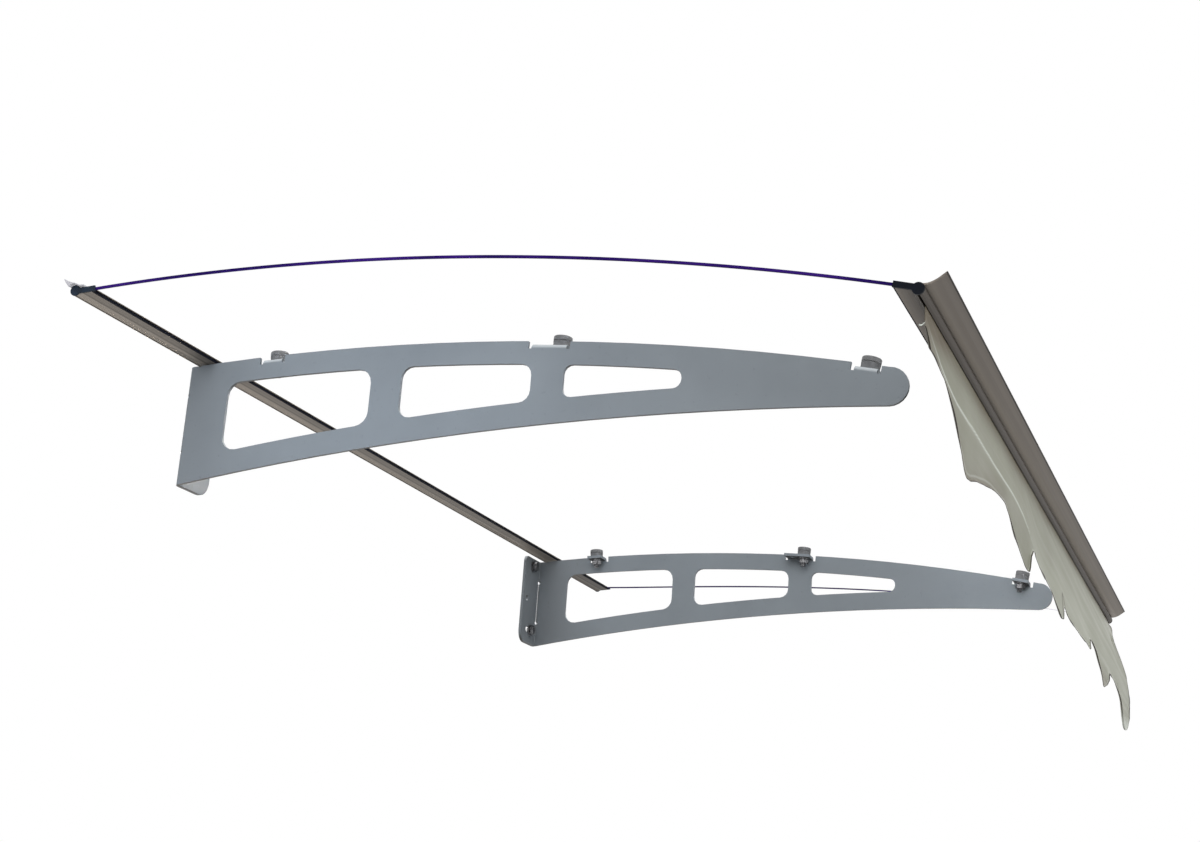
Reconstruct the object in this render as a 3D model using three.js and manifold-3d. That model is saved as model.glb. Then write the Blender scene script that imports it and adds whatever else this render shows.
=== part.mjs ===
// Door canopy: a clear arched sheet in two aluminium profiles, on two folded wall brackets.
// Millimetres, +Z up. The wall is the plane y = 0 and the canopy reaches out towards -Y.
import * as THREE from 'three';
import { mergeVertices } from 'three/addons/utils/BufferGeometryUtils.js';
import Module from 'manifold-3d';

const wasm = await Module();
wasm.setup();

// Overall sizes
const canopyWidth = 1500;
const bracketSpan = 1032;
const frontOverhang = 55;
const gap = 0.3;
const cutMargin = 5;

// Roof sheet: the lift is its height over the brackets at the wall
const sheetThickness = 2.4;
const sheetLift = 3;
const sheetCrownOut = 279;
const sheetCrownRise = 13.9;

// Bracket outline
const reach = 814;
const wallHeight = 136.3;
const topCrownOut = 273;
const topCrownRise = 13.5;
const soffitCrownOut = 674;
const soffitRise = 63.1;
const plateThickness = 4;
const bendRadius = 1.5;

// Bracket windows, from the wall outwards
const wallPost = 53;
const post = 36;
const windowLengths = [178, 151, 129];
const windowRadii = [16, 13, 9.5];
const topRail = 25;
const bottomRail = 26;

// Wall flange
const flangeWidth = 61;
const flangeTopRadius = 9;
const flangeBottomRadius = 18;
const wallHoleDiameter = 8.6;
const wallHoleInset = 32;
const topHoleDrop = 13;
const middleHoleInset = 47;
const middleHoleDrop = 66;
const slotRise = 22.5;
const slotTravel = 12;
const slitLength = 65;
const slitWidth = 2;
const slitEndDiameter = 5;

// Tabs folded from the top edge
const rearFixingOut = 105;
const middleFixingOut = 444;
const frontFixingInset = 42;
const tabDrop = 2.5;
const tabMargin = 1.5;
const reliefWidth = 4;
const reliefExtraDepth = 0.3;
const spareHolePitch = 18;
const spareHoleEdge = 10;
const spareHoleDiameter = 6.5;

// Sheet fixings
const boltDiameter = 8;
const holeClearance = 0.5;
const boltHeadDiameter = 14;
const boltHeadHeight = 2;
const boltChamfer = 1;
const boltTail = 4.5;
const capDiameter = 20;
const capTopWall = 2.7;
const capRoundness = 1.2;
const washerDiameter = 17;
const washerThickness = 1.6;
const nutFlats = 13;
const nutHeight = 6.5;

// Wall screws
const screwDiameter = 7;
const screwHeadFlats = 13;
const screwHeadHeight = 5.5;
const screwWasherDiameter = 18;

// Edge profiles
const tubeRadius = 5.3;
const tubeWall = 1.7;
const wallTubeDrop = -0.4;
const frontTubeDrop = 1.2;
const wallGap = 7.7;
const armWall = 0.9;
const slotStart = 6.2;
const gasketThickness = 0.6;
const gasketTongue = 9;
const wallUpperArm = 21;
const wallLowerArm = 18.3;
const frontUpperArm = 22.5;
const frontLowerArm = 20.5;
const grooveWidth = 2.2;
const lipReach = 20.3;
const lipRise = 14;
const lipWall = 1.6;

// Wall seal lip
const sealThickness = 1.2;
const sealFoot = 12;
const sealRise = 9.5;
const sealOverhang = 6;

// End caps
const endCapThickness = 2;
const endCapRim = 0.3;
const endCapPlug = 8;
const wallEndCapOverhang = 2.5;

// Torn film in the front groove
const filmThickness = 0.8;
const filmBeadRadius = 1.9;
const filmNearMargin = 28;
const filmFarMargin = 12;
const filmCollar = 4;
const filmDrop = 190;
const filmSwing = 0.26;
const filmKick = 5;
const filmKickDepth = 15;

// Lower edge of the film: shares of its length, from the left end, and of its drop below the groove
const tornEdge = [
  [0.02, 0.11], [0.07, 0.25], [0.11, 0.39], [0.12, 0.49], [0.13, 0.53], [0.155, 0.51], [0.2, 0.43],
  [0.245, 0.38], [0.28, 0.36], [0.3, 0.38], [0.33, 0.49], [0.36, 0.56], [0.38, 0.58], [0.392, 0.51],
  [0.405, 0.42], [0.43, 0.44], [0.475, 0.48], [0.5, 0.53], [0.53, 0.58], [0.55, 0.62], [0.575, 0.56],
  [0.635, 0.57], [0.69, 0.57], [0.725, 0.61], [0.727, 0.51], [0.77, 0.53], [0.777, 0.62],
  [0.775, 0.73], [0.773, 0.79], [0.835, 0.67], [0.855, 0.6], [0.895, 0.67], [0.91, 0.74],
  [0.893, 0.85], [0.87, 1], [0.902, 0.95], [0.94, 0.85], [0.985, 0.64], [1, 0.53],
];

// Finishes
const bracketGrey = { color: 0x868e94, roughness: 0.55, metalness: 0.25 };
const satinAluminium = { color: 0x8a837c, roughness: 0.4, metalness: 0.85 };
const clearSheet = { color: 0xe4e8ee, roughness: 0.08, metalness: 0, transparent: true, opacity: 0.25 };
const darkPlastic = { color: 0x1c2733, roughness: 0.5, metalness: 0 };
const blackRubber = { color: 0x0c0d10, roughness: 0.8, metalness: 0 };
const paleSeal = { color: 0xe6e4e8, roughness: 0.45, metalness: 0 };
const greyPlastic = { color: 0x747577, roughness: 0.6, metalness: 0 };
const greyRubber = { color: 0x6c6d6f, roughness: 0.8, metalness: 0 };
const zincSteel = { color: 0x6f7072, roughness: 0.35, metalness: 0.9 };
const milkyFilm = { color: 0xa3a699, roughness: 0.5, metalness: 0, transparent: true, opacity: 0.8 };

// Arc over a crown point, through a point on the wall
function archThrough(wallZ, crownOut, rise) {
  const radius = (crownOut ** 2 + rise ** 2) / (2 * rise);
  return { y: -crownOut, z: wallZ + rise - radius, radius };
}

const topArch = archThrough(0, topCrownOut, topCrownRise);
const soffitArch = archThrough(-wallHeight, soffitCrownOut, soffitRise);
const sheetArch = archThrough(sheetLift, sheetCrownOut, sheetCrownRise);

function archHeight(arch, y, offset = 0) {
  return arch.z + Math.sqrt((arch.radius + offset) ** 2 - (y - arch.y) ** 2);
}

function archSlope(arch, y) {
  return Math.atan2(arch.y - y, archHeight(arch, y) - arch.z);
}

function archPoints(arch, fromY, toY, offset, steps) {
  const points = [];
  for (let i = 0; i <= steps; i += 1) {
    const y = fromY + (toY - fromY) * i / steps;
    points.push([y, archHeight(arch, y, offset)]);
  }
  return points;
}

// Places worked out from the sizes above
const bendOuter = plateThickness + bendRadius;
const capRadius = capDiameter / 2;
const boltRadius = boltDiameter / 2;
const fixingInset = bendOuter + capRadius;
const tabReach = fixingInset + capRadius + tabMargin;
const tabHalf = capRadius + tabMargin;
const fixingOuts = [rearFixingOut, middleFixingOut, reach - frontFixingInset];
const wallTubeOut = wallGap + tubeRadius;
const frontTubeOut = reach + frontOverhang;
const profileLength = canopyWidth - 2 * (endCapThickness + gap);
const slotTop = sheetThickness / 2 + gap;
const slotBottom = slotTop + gasketThickness + gap;
const armTop = slotTop + armWall;
const armBottom = slotBottom + armWall;
const boreRadius = tubeRadius - tubeWall;

// Geometry helpers
function closedGeometry(geometry) {
  const bare = geometry.clone();
  bare.deleteAttribute('normal');
  bare.deleteAttribute('uv');
  const merged = mergeVertices(bare, 0.001);
  const index = merged.index.array;
  const kept = [];
  for (let i = 0; i < index.length; i += 3) {
    const [a, b, c] = [index[i], index[i + 1], index[i + 2]];
    if (a !== b && b !== c && c !== a) {
      kept.push(a, b, c);
    }
  }
  merged.setIndex(kept);
  return merged;
}

function solid(geometry) {
  const closed = closedGeometry(geometry);
  return new wasm.Manifold(new wasm.Mesh({
    numProp: 3,
    vertProperties: new Float32Array(closed.attributes.position.array),
    triVerts: new Uint32Array(closed.index.array),
  }));
}

function geometryOf(manifold) {
  const mesh = manifold.getMesh();
  const geometry = new THREE.BufferGeometry();
  geometry.setAttribute('position', new THREE.BufferAttribute(mesh.vertProperties, 3));
  geometry.setIndex(new THREE.BufferAttribute(mesh.triVerts, 1));
  return geometry;
}

function mirrored(geometry) {
  const copy = geometry.clone();
  copy.scale(-1, 1, 1);
  const index = copy.index.array;
  for (let i = 0; i < index.length; i += 3) {
    [index[i + 1], index[i + 2]] = [index[i + 2], index[i + 1]];
  }
  return copy;
}

function shapeOf(points) {
  return new THREE.Shape(points.map(([a, b]) => new THREE.Vector2(a, b)));
}

// Outline with its corners rounded: each corner is [a, b, radius]
function roundedShape(corners, steps = 4) {
  const points = [];
  corners.forEach(([a, b, radius = 0], i) => {
    const corner = new THREE.Vector2(a, b);
    if (radius === 0) {
      points.push([a, b]);
      return;
    }
    const last = corners.length - 1;
    const before = new THREE.Vector2(...corners[i === 0 ? last : i - 1]).sub(corner).normalize();
    const after = new THREE.Vector2(...corners[i === last ? 0 : i + 1]).sub(corner).normalize();
    const half = Math.acos(before.dot(after)) / 2;
    const inwards = before.clone().add(after).normalize();
    const centre = inwards.multiplyScalar(radius / Math.sin(half)).add(corner);
    const start = before.multiplyScalar(radius / Math.tan(half)).add(corner).sub(centre);
    const end = after.multiplyScalar(radius / Math.tan(half)).add(corner).sub(centre);
    const turn = Math.atan2(start.cross(end), start.dot(end));
    for (let k = 0; k <= steps; k += 1) {
      const point = start.clone().rotateAround(new THREE.Vector2(), turn * k / steps).add(centre);
      points.push([point.x, point.y]);
    }
  });
  return shapeOf(points);
}

// Prisms of a (y, z) outline along X, of an (x, y) outline along Z and of an (x, z) outline along Y
function prismX(shape, fromX, toX) {
  const geometry = new THREE.ExtrudeGeometry(shape, { depth: toX - fromX, bevelEnabled: false });
  geometry.applyMatrix4(new THREE.Matrix4().set(0, 0, 1, fromX, 1, 0, 0, 0, 0, 1, 0, 0, 0, 0, 0, 1));
  return geometry;
}

function prismZ(shape, fromZ, toZ) {
  const geometry = new THREE.ExtrudeGeometry(shape, { depth: toZ - fromZ, bevelEnabled: false });
  geometry.translate(0, 0, fromZ);
  return geometry;
}

function prismY(shape, fromY, toY) {
  const geometry = new THREE.ExtrudeGeometry(shape, { depth: toY - fromY, bevelEnabled: false });
  geometry.rotateX(Math.PI / 2);
  geometry.translate(0, toY, 0);
  return geometry;
}

function block(fromX, toX, fromY, toY, fromZ, toZ) {
  const geometry = new THREE.BoxGeometry(toX - fromX, toY - fromY, toZ - fromZ);
  geometry.translate((fromX + toX) / 2, (fromY + toY) / 2, (fromZ + toZ) / 2);
  return geometry;
}

function rod(radius, length, segments = 16) {
  const geometry = new THREE.CylinderGeometry(radius, radius, length, segments);
  geometry.rotateX(Math.PI / 2);
  return geometry;
}

function rodX(radius, length, segments = 20) {
  const geometry = new THREE.CylinderGeometry(radius, radius, length, segments);
  geometry.rotateZ(Math.PI / 2);
  return geometry;
}

// Turned piece: the profile's points are [radius, z], from the bottom to the top
function turned(profile, segments = 16) {
  const geometry = new THREE.LatheGeometry(profile.map(([r, z]) => new THREE.Vector2(r, z)), segments);
  geometry.rotateX(Math.PI / 2);
  return closedGeometry(geometry);
}

function ring(outerRadius, innerRadius, height, segments = 20) {
  const start = [innerRadius, 0];
  return turned([start, [outerRadius, 0], [outerRadius, height], [innerRadius, height], start], segments);
}

function hexagon(flats) {
  const points = [];
  for (let i = 0; i < 6; i += 1) {
    const angle = Math.PI * (2 * i + 1) / 6;
    points.push([flats / Math.sqrt(3) * Math.cos(angle), flats / Math.sqrt(3) * Math.sin(angle)]);
  }
  return shapeOf(points);
}

function placed(geometry, x, y, z, turnX = 0) {
  const copy = geometry.clone();
  copy.rotateX(turnX);
  copy.translate(x, y, z);
  return copy;
}

// Scene graph
const canopy = new THREE.Group();
canopy.name = 'door_canopy';

function addPart(parent, name, geometry, finish) {
  const mesh = new THREE.Mesh(geometry, new THREE.MeshStandardMaterial({ ...finish }));
  mesh.name = name;
  parent.add(mesh);
  return mesh;
}

// Place on an arch, and a group there: x runs along the wall and z stands square to the arch
function placeOnArch(arch, y, lift) {
  const slope = archSlope(arch, y);
  return { y: y - lift * Math.sin(slope), z: archHeight(arch, y) + lift * Math.cos(slope), slope };
}

function addFrame(place, x = 0) {
  const frame = new THREE.Group();
  frame.position.set(x, place.y, place.z);
  frame.rotation.x = place.slope;
  canopy.add(frame);
  return frame;
}

// The two edges of the sheet: inwards is the way into the sheet along Y
const wallEdge = {
  ...placeOnArch(sheetArch, -wallTubeOut, sheetThickness / 2),
  name: 'wall', inwards: -1, upperArm: wallUpperArm, lowerArm: wallLowerArm, tubeDrop: wallTubeDrop,
  capArm: wallUpperArm + wallEndCapOverhang,
};
const frontEdge = {
  ...placeOnArch(sheetArch, -frontTubeOut, sheetThickness / 2),
  name: 'front', inwards: 1, upperArm: frontUpperArm, lowerArm: frontLowerArm, tubeDrop: frontTubeDrop,
  capArm: frontUpperArm,
};

// Bracket
function bracketOutline() {
  let tipRadius = 0;
  for (let i = 0; i < 30; i += 1) {
    const y = tipRadius - reach;
    tipRadius = (archHeight(topArch, y) - archHeight(soffitArch, y)) / 2;
  }
  const tipY = tipRadius - reach;
  const tipZ = archHeight(topArch, tipY) - tipRadius;
  const tip = [];
  for (let i = 1; i < 12; i += 1) {
    const angle = Math.PI * i / 12;
    tip.push([tipY - tipRadius * Math.sin(angle), tipZ + tipRadius * Math.cos(angle)]);
  }
  const top = archPoints(topArch, cutMargin, tipY, 0, 18);
  const soffit = archPoints(soffitArch, tipY, cutMargin, 0, 18);
  return shapeOf([...top, ...tip, ...soffit]);
}

function windowShape(start, length, radius) {
  const top = archPoints(topArch, -start, -start - length, -topRail, 4);
  const bottom = archPoints(soffitArch, -start - length, -start, bottomRail, 4);
  const corners = [...top, ...bottom];
  for (const i of [0, 4, 5, 9]) {
    corners[i] = [...corners[i], radius];
  }
  return roundedShape(corners);
}

// Plate, bend and wall flange in plan, seen from above
function foldedStrip(outerX) {
  const corners = [
    [outerX, 0, bendOuter],
    [outerX, -reach - cutMargin],
    [outerX - plateThickness, -reach - cutMargin],
    [outerX - plateThickness, -plateThickness, bendRadius],
    [outerX - flangeWidth, -plateThickness],
    [outerX - flangeWidth, 0],
  ];
  return prismZ(roundedShape(corners), -wallHeight - cutMargin, topCrownRise + cutMargin);
}

// What a rounded corner takes off a square one at (x, z)
function cornerCut(x, z, radius, inX, inZ) {
  const points = [[x - inX * cutMargin, z - inZ * cutMargin], [x + inX * radius, z - inZ * cutMargin]];
  for (let i = 0; i <= 6; i += 1) {
    const angle = Math.PI / 2 * i / 6;
    points.push([x + inX * radius * (1 - Math.sin(angle)), z + inZ * radius * (1 - Math.cos(angle))]);
  }
  points.push([x - inX * cutMargin, z + inZ * radius]);
  return prismY(shapeOf(points), -plateThickness - cutMargin / 2, cutMargin);
}

function slotHole(fromX, toX, z, diameter) {
  const radius = diameter / 2;
  const points = [];
  for (const [x, start] of [[fromX, Math.PI / 2], [toX, -Math.PI / 2]]) {
    for (let i = 0; i <= 8; i += 1) {
      const angle = start + Math.PI * i / 8;
      points.push([x + radius * Math.cos(angle), z + radius * Math.sin(angle)]);
    }
  }
  return prismY(shapeOf(points), -plateThickness - cutMargin, cutMargin);
}

// Relief slit along the bend, with a round hole at each end
function bendSlit(outerX) {
  const middle = (plateThickness + bendRadius) / 2;
  const cutters = [new THREE.BoxGeometry(slitWidth, 4 * bendOuter, slitLength)];
  for (const end of [-1, 1]) {
    const hole = new THREE.CylinderGeometry(slitEndDiameter / 2, slitEndDiameter / 2, 4 * bendOuter, 12);
    hole.translate(0, 0, end * slitLength / 2);
    cutters.push(hole);
  }
  return cutters.map((cutter) => {
    cutter.rotateZ(-Math.PI / 4);
    cutter.translate(outerX - middle, -middle, -middleHoleDrop);
    return cutter;
  });
}

// Tab folded inwards: its section is drawn from the plate's outer face
function tabSection(outerX, rootDepth) {
  const corners = [
    [outerX, -tabDrop, bendOuter],
    [outerX, -rootDepth],
    [outerX - plateThickness, -rootDepth],
    [outerX - plateThickness, -tabDrop - plateThickness, bendRadius],
    [outerX - tabReach, -tabDrop - plateThickness],
    [outerX - tabReach, -tabDrop],
  ];
  return roundedShape(corners);
}

function bracket(outerX) {
  let body = solid(foldedStrip(outerX));
  const innerX = outerX - flangeWidth - cutMargin;
  body = body.intersect(solid(prismX(bracketOutline(), innerX, outerX + cutMargin)));
  let start = wallPost;
  windowLengths.forEach((length, i) => {
    const opening = windowShape(start, length, windowRadii[i]);
    body = body.subtract(solid(prismX(opening, innerX, outerX + cutMargin)));
    start += length + post;
  });

  const edgeX = outerX - flangeWidth;
  const slotX = outerX - wallHoleInset;
  const cuts = [
    cornerCut(edgeX, archHeight(topArch, -plateThickness), flangeTopRadius, 1, -1),
    cornerCut(edgeX, -wallHeight, flangeBottomRadius, 1, 1),
    slotHole(slotX, slotX, -topHoleDrop, wallHoleDiameter),
    slotHole(outerX - middleHoleInset, outerX - middleHoleInset, -middleHoleDrop, wallHoleDiameter),
    slotHole(slotX - slotTravel / 2, slotX + slotTravel / 2, slotRise - wallHeight, wallHoleDiameter),
    ...bendSlit(outerX),
    ...profileSeat(innerX, outerX + cutMargin),
  ];
  for (const cut of cuts) {
    body = body.subtract(solid(cut));
  }

  const pocketDepth = tabDrop + bendOuter + reliefExtraDepth;
  fixingOuts.forEach((out, i) => {
    const slope = archSlope(topArch, -out);
    const wallSide = i === 1 ? spareHolePitch + spareHoleEdge : tabHalf;
    const place = (geometry) => solid(placed(geometry, 0, -out, archHeight(topArch, -out), slope));
    const pocket = block(outerX - plateThickness - cutMargin, outerX + cutMargin,
      -tabHalf - reliefWidth, wallSide + reliefWidth, -pocketDepth, cutMargin);
    const tab = prismY(tabSection(outerX, pocketDepth + cutMargin), -tabHalf, wallSide);
    const hole = rod(boltRadius + holeClearance, 4 * cutMargin);
    hole.translate(outerX - fixingInset, 0, -tabDrop);
    body = body.subtract(place(pocket)).add(place(tab)).subtract(place(hole));
    if (i === 1) {
      const spare = rod(spareHoleDiameter / 2, 4 * cutMargin);
      spare.translate(outerX - fixingInset, spareHolePitch, -tabDrop);
      body = body.subtract(place(spare));
    }
  });
  return geometryOf(body);
}

// Seat cut into the plate for the wall profile's tube and lower arm
function profileSeat(fromX, toX) {
  const { y, z, slope } = wallEdge;
  const tube = rodX(tubeRadius + gap, toX - fromX);
  tube.translate((fromX + toX) / 2, 0, -wallTubeDrop);
  const arm = block(fromX, toX, -wallUpperArm - gap, 0, -armBottom - gap, armTop);
  return [placed(tube, 0, y, z, slope), placed(arm, 0, y, z, slope)];
}

// Edge profile: a grooved tube and two arms that grip the sheet, with z = 0 in the sheet's middle
function profileSolid(edge) {
  const half = profileLength / 2;
  const long = half + cutMargin;
  const beyond = edge.upperArm + cutMargin;
  const across = (from, to) => (edge.inwards > 0 ? [from, to] : [-to, -from]);
  const tube = rodX(tubeRadius, profileLength, 28);
  tube.translate(0, 0, -edge.tubeDrop);
  const bore = rodX(boreRadius, 2 * long);
  bore.translate(0, 0, -edge.tubeDrop);
  const groove = block(-long, long, -grooveWidth / 2, grooveWidth / 2, -tubeRadius - cutMargin, 0);
  groove.rotateX(-edge.slope);
  groove.translate(0, 0, -edge.tubeDrop);
  const arms = block(-half, half, ...across(0, edge.upperArm), -armBottom, armTop);
  const slot = block(-long, long, ...across(slotStart, beyond), -slotBottom, slotTop);
  const step = block(-long, long, ...across(edge.lowerArm, beyond), -armBottom - cutMargin, -slotTop);
  let body = solid(tube).add(solid(arms));
  if (edge === frontEdge) {
    body = body.add(solid(prismX(lipShape(), -half, half)));
  }
  for (const cut of [slot, step, bore, groove]) {
    body = body.subtract(solid(cut));
  }
  return geometryOf(body);
}

// Strip of even thickness along a curve, on the curve's left
function stripShape(curve, thickness, steps) {
  const near = [];
  const far = [];
  for (let i = 0; i <= steps; i += 1) {
    const point = curve.getPoint(i / steps);
    const tangent = curve.getTangent(i / steps);
    near.push([point.x, point.y]);
    far.unshift([point.x - thickness * tangent.y, point.y + thickness * tangent.x]);
  }
  return shapeOf([...near, ...far]);
}

function curveThrough(points) {
  return new THREE.SplineCurve(points.map(([y, z]) => new THREE.Vector2(y, z)));
}

// Upturned lip of the front profile: from the upper arm over the tube, outwards and up
function lipShape() {
  const tubeTop = tubeRadius - frontTubeDrop;
  const curve = curveThrough([
    [slotStart, armTop],
    [0, tubeTop],
    [-lipReach * 0.3, tubeTop + lipRise * 0.1],
    [-lipReach * 0.62, tubeTop + lipRise * 0.4],
    [-lipReach, tubeTop + lipRise],
  ]);
  return stripShape(curve, lipWall, 10);
}

// Rubber strip under the sheet, with a tongue in the slot and a bead before the lower arm
function gasketGeometry(edge) {
  const top = -sheetThickness / 2 - gap;
  const tongue = top - gasketThickness;
  const bead = edge.lowerArm + gap;
  const points = [
    [gasketTongue, top], [edge.upperArm, top], [edge.upperArm - gasketThickness, -armBottom],
    [bead, -armBottom], [bead, tongue], [gasketTongue, tongue],
  ];
  const shape = shapeOf(points.map(([y, z]) => [edge.inwards * y, z]));
  return prismX(shape, -profileLength / 2, profileLength / 2);
}

// End cap: disc over the tube, arm over the slot and a plug in the bore; its inner face is x = 0
function endCapGeometry(edge) {
  const disc = rodX(tubeRadius + endCapRim, endCapThickness, 28);
  disc.translate(endCapThickness / 2, 0, -edge.tubeDrop);
  const plug = rodX(boreRadius - gap, endCapPlug + endCapThickness, 12);
  plug.translate((endCapThickness - endCapPlug) / 2, 0, -edge.tubeDrop);
  const armEnds = edge.inwards > 0 ? [0, edge.capArm] : [-edge.capArm, 0];
  const arm = block(0, endCapThickness, ...armEnds, -armBottom, armTop);
  return geometryOf(solid(disc).add(solid(arm)).add(solid(plug)));
}

// Soft lip from the top of the wall profile up to the wall
function sealGeometry() {
  const { y, slope } = wallEdge;
  const foot = armTop + gap;
  const around = tubeRadius + endCapRim + 1.5 * gap;
  const shoulder = around * Math.SQRT1_2;
  const overTube = around - wallTubeDrop;
  const tipZ = foot + sealRise;
  const tipY = (tipZ * Math.sin(slope) - y - gap) / Math.cos(slope);
  const curve = curveThrough([
    [-sealFoot, foot],
    [-around * 1.25, foot + gap],
    [-shoulder, shoulder - wallTubeDrop],
    [0, overTube],
    [tipY * 0.55, overTube + (tipZ - overTube) * 0.42],
    [tipY, tipZ],
  ]);
  const half = profileLength / 2 + sealOverhang;
  return prismX(stripShape(curve, sealThickness, 15), -half, half);
}

function addEdge(edge) {
  const frame = addFrame(edge);
  addPart(frame, `${edge.name}_profile`, profileSolid(edge), satinAluminium);
  addPart(frame, `${edge.name}_gasket`, gasketGeometry(edge), blackRubber);
  const cap = endCapGeometry(edge);
  const right = addPart(frame, `right_${edge.name}_end_cap`, cap, darkPlastic);
  right.position.x = profileLength / 2 + gap;
  const left = addPart(frame, `left_${edge.name}_end_cap`, mirrored(cap), darkPlastic);
  left.position.x = -profileLength / 2 - gap;
  return frame;
}

function addEdges() {
  addEdge(frontEdge);
  addPart(addEdge(wallEdge), 'wall_seal_lip', sealGeometry(), paleSeal);
}

// Film: a bead in the bore, a collar through the groove and a torn sheet that swings outwards
function addFilm() {
  const length = profileLength - filmNearMargin - filmFarMargin;
  const startX = -profileLength / 2 + filmNearMargin;
  const boreY = frontEdge.y + frontTubeDrop * Math.sin(frontEdge.slope);
  const boreZ = frontEdge.z - frontTubeDrop * Math.cos(frontEdge.slope);
  const grooveHalf = grooveWidth / 2;
  const edgeDrop = Math.sqrt(boreRadius ** 2 - grooveHalf ** 2);
  const beadZ = boreZ - edgeDrop + Math.sqrt((filmBeadRadius + gap) ** 2 - grooveHalf ** 2);
  const grooveZ = boreZ - tubeRadius;
  const half = filmThickness / 2;

  const bead = rodX(filmBeadRadius, length, 12);
  bead.translate(startX + length / 2, boreY, beadZ);
  const collar = block(startX, startX + length, boreY - half, boreY + half, grooveZ - filmCollar, beadZ);
  const hang = grooveZ - filmCollar / 2;
  const edge = tornEdge.map(([share, depth]) => [startX + share * length, grooveZ - depth * filmDrop]);
  const outline = [[startX, hang], ...edge, [startX + length, hang]];
  const sheet = prismY(shapeOf(outline), boreY - half, boreY + half);
  const position = sheet.attributes.position;
  for (let i = 0; i < position.count; i += 1) {
    const along = Math.max((position.getX(i) - startX) / length, 0);
    const drop = hang - position.getZ(i);
    const kick = filmKick * (1 - Math.exp(-drop / filmKickDepth));
    position.setY(i, position.getY(i) - (filmSwing * drop + kick) * along ** 1.5);
  }
  addPart(canopy, 'torn_film', geometryOf(solid(bead).add(solid(collar)).add(solid(sheet))), milkyFilm);
}

// Roof sheet between the two profiles, drilled for the fixings
function addRoofSheet() {
  const slotInset = slotStart + gap;
  const fromY = wallEdge.y - slotInset * Math.cos(wallEdge.slope);
  const toY = frontEdge.y + slotInset * Math.cos(frontEdge.slope);
  const middleRadius = sheetArch.radius + sheetThickness / 2;
  const fromAngle = Math.asin((fromY - sheetArch.y) / middleRadius);
  const toAngle = Math.asin((toY - sheetArch.y) / middleRadius);
  const side = (radius, a, b) => {
    const points = [];
    for (let i = 0; i <= 24; i += 1) {
      const angle = a + (b - a) * i / 24;
      points.push([sheetArch.y + radius * Math.sin(angle), sheetArch.z + radius * Math.cos(angle)]);
    }
    return points;
  };
  const under = side(sheetArch.radius, fromAngle, toAngle);
  const over = side(sheetArch.radius + sheetThickness, toAngle, fromAngle);
  let body = solid(prismX(shapeOf([...under, ...over]), -profileLength / 2, profileLength / 2));
  for (const out of fixingOuts) {
    for (const hand of [-1, 1]) {
      const hole = rod(boltRadius + holeClearance, 4 * cutMargin);
      const x = hand * (bracketSpan / 2 - fixingInset);
      const slope = archSlope(topArch, -out);
      body = body.subtract(solid(placed(hole, x, -out, archHeight(topArch, -out), slope)));
    }
  }
  addPart(canopy, 'roof_sheet', geometryOf(body), clearSheet);
}

function addBrackets() {
  const right = bracket(bracketSpan / 2);
  addPart(canopy, 'right_bracket', right, bracketGrey);
  addPart(canopy, 'left_bracket', mirrored(right), bracketGrey);
}

// Hex nut or head with its corners turned off at both ends
function hexBlank(flats, height) {
  const inner = flats / 2 * 0.95;
  const outer = flats / Math.sqrt(3);
  const chamfer = (outer - inner) * 0.55;
  const envelope = turned([[0, 0], [inner, 0], [outer, chamfer], [outer, height - chamfer], [inner, height],
    [0, height]]);
  return solid(prismZ(hexagon(flats), 0, height)).intersect(solid(envelope));
}

function nutGeometry() {
  const bore = rod(boltRadius + gap, 4 * nutHeight);
  return geometryOf(hexBlank(nutFlats, nutHeight).subtract(solid(bore)));
}

function capGeometry() {
  const cavity = boltHeadDiameter / 2 + holeClearance;
  const cavityHeight = boltHeadHeight + gap;
  const height = cavityHeight + capTopWall;
  const profile = [[0, cavityHeight], [cavity, cavityHeight], [cavity, 0], [capRadius, 0]];
  for (let i = 0; i <= 3; i += 1) {
    const angle = Math.PI / 2 * i / 3;
    profile.push([
      capRadius - capRoundness * (1 - Math.cos(angle)),
      height - capRoundness * (1 - Math.sin(angle)),
    ]);
  }
  profile.push([0, height]);
  return turned(profile, 24);
}

function boltGeometry(headZ, tailZ) {
  const head = boltHeadDiameter / 2;
  return turned([
    [0, tailZ], [boltRadius - boltChamfer, tailZ], [boltRadius, tailZ + boltChamfer], [boltRadius, headZ],
    [head, headZ], [head, headZ + boltHeadHeight], [0, headZ + boltHeadHeight],
  ]);
}

// Sheet fixings: cap, bolt, spacer, washer and nut, stacked along the local z axis
function addFixings() {
  const tabUnder = -tabDrop - plateThickness;
  const washerZ = tabUnder - gap - washerThickness;
  const nutZ = washerZ - gap - nutHeight;
  const cap = capGeometry();
  const washer = ring(washerDiameter / 2, boltRadius + gap, washerThickness);
  const nut = nutGeometry();
  fixingOuts.forEach((out, i) => {
    const place = placeOnArch(topArch, -out, 0);
    const sheetUnder = (archHeight(sheetArch, -out) - place.z) * Math.cos(place.slope);
    const sheetTop = sheetUnder + sheetThickness;
    const spacer = ring(capRadius, boltRadius + holeClearance, sheetUnder + tabDrop - 2 * gap, 24);
    const bolt = boltGeometry(sheetTop + gap, nutZ - boltTail);
    const row = ['rear', 'middle', 'front'][i];
    for (const [side, hand] of [['left', -1], ['right', 1]]) {
      const frame = addFrame(place, hand * (bracketSpan / 2 - fixingInset));
      addPart(frame, `${side}_${row}_cap`, cap, greyPlastic).position.z = sheetTop + gap;
      addPart(frame, `${side}_${row}_bolt`, bolt, zincSteel);
      addPart(frame, `${side}_${row}_spacer`, spacer, greyRubber).position.z = gap - tabDrop;
      addPart(frame, `${side}_${row}_washer`, washer, zincSteel).position.z = washerZ;
      addPart(frame, `${side}_${row}_nut`, nut, zincSteel).position.z = nutZ;
    }
  });
}

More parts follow.
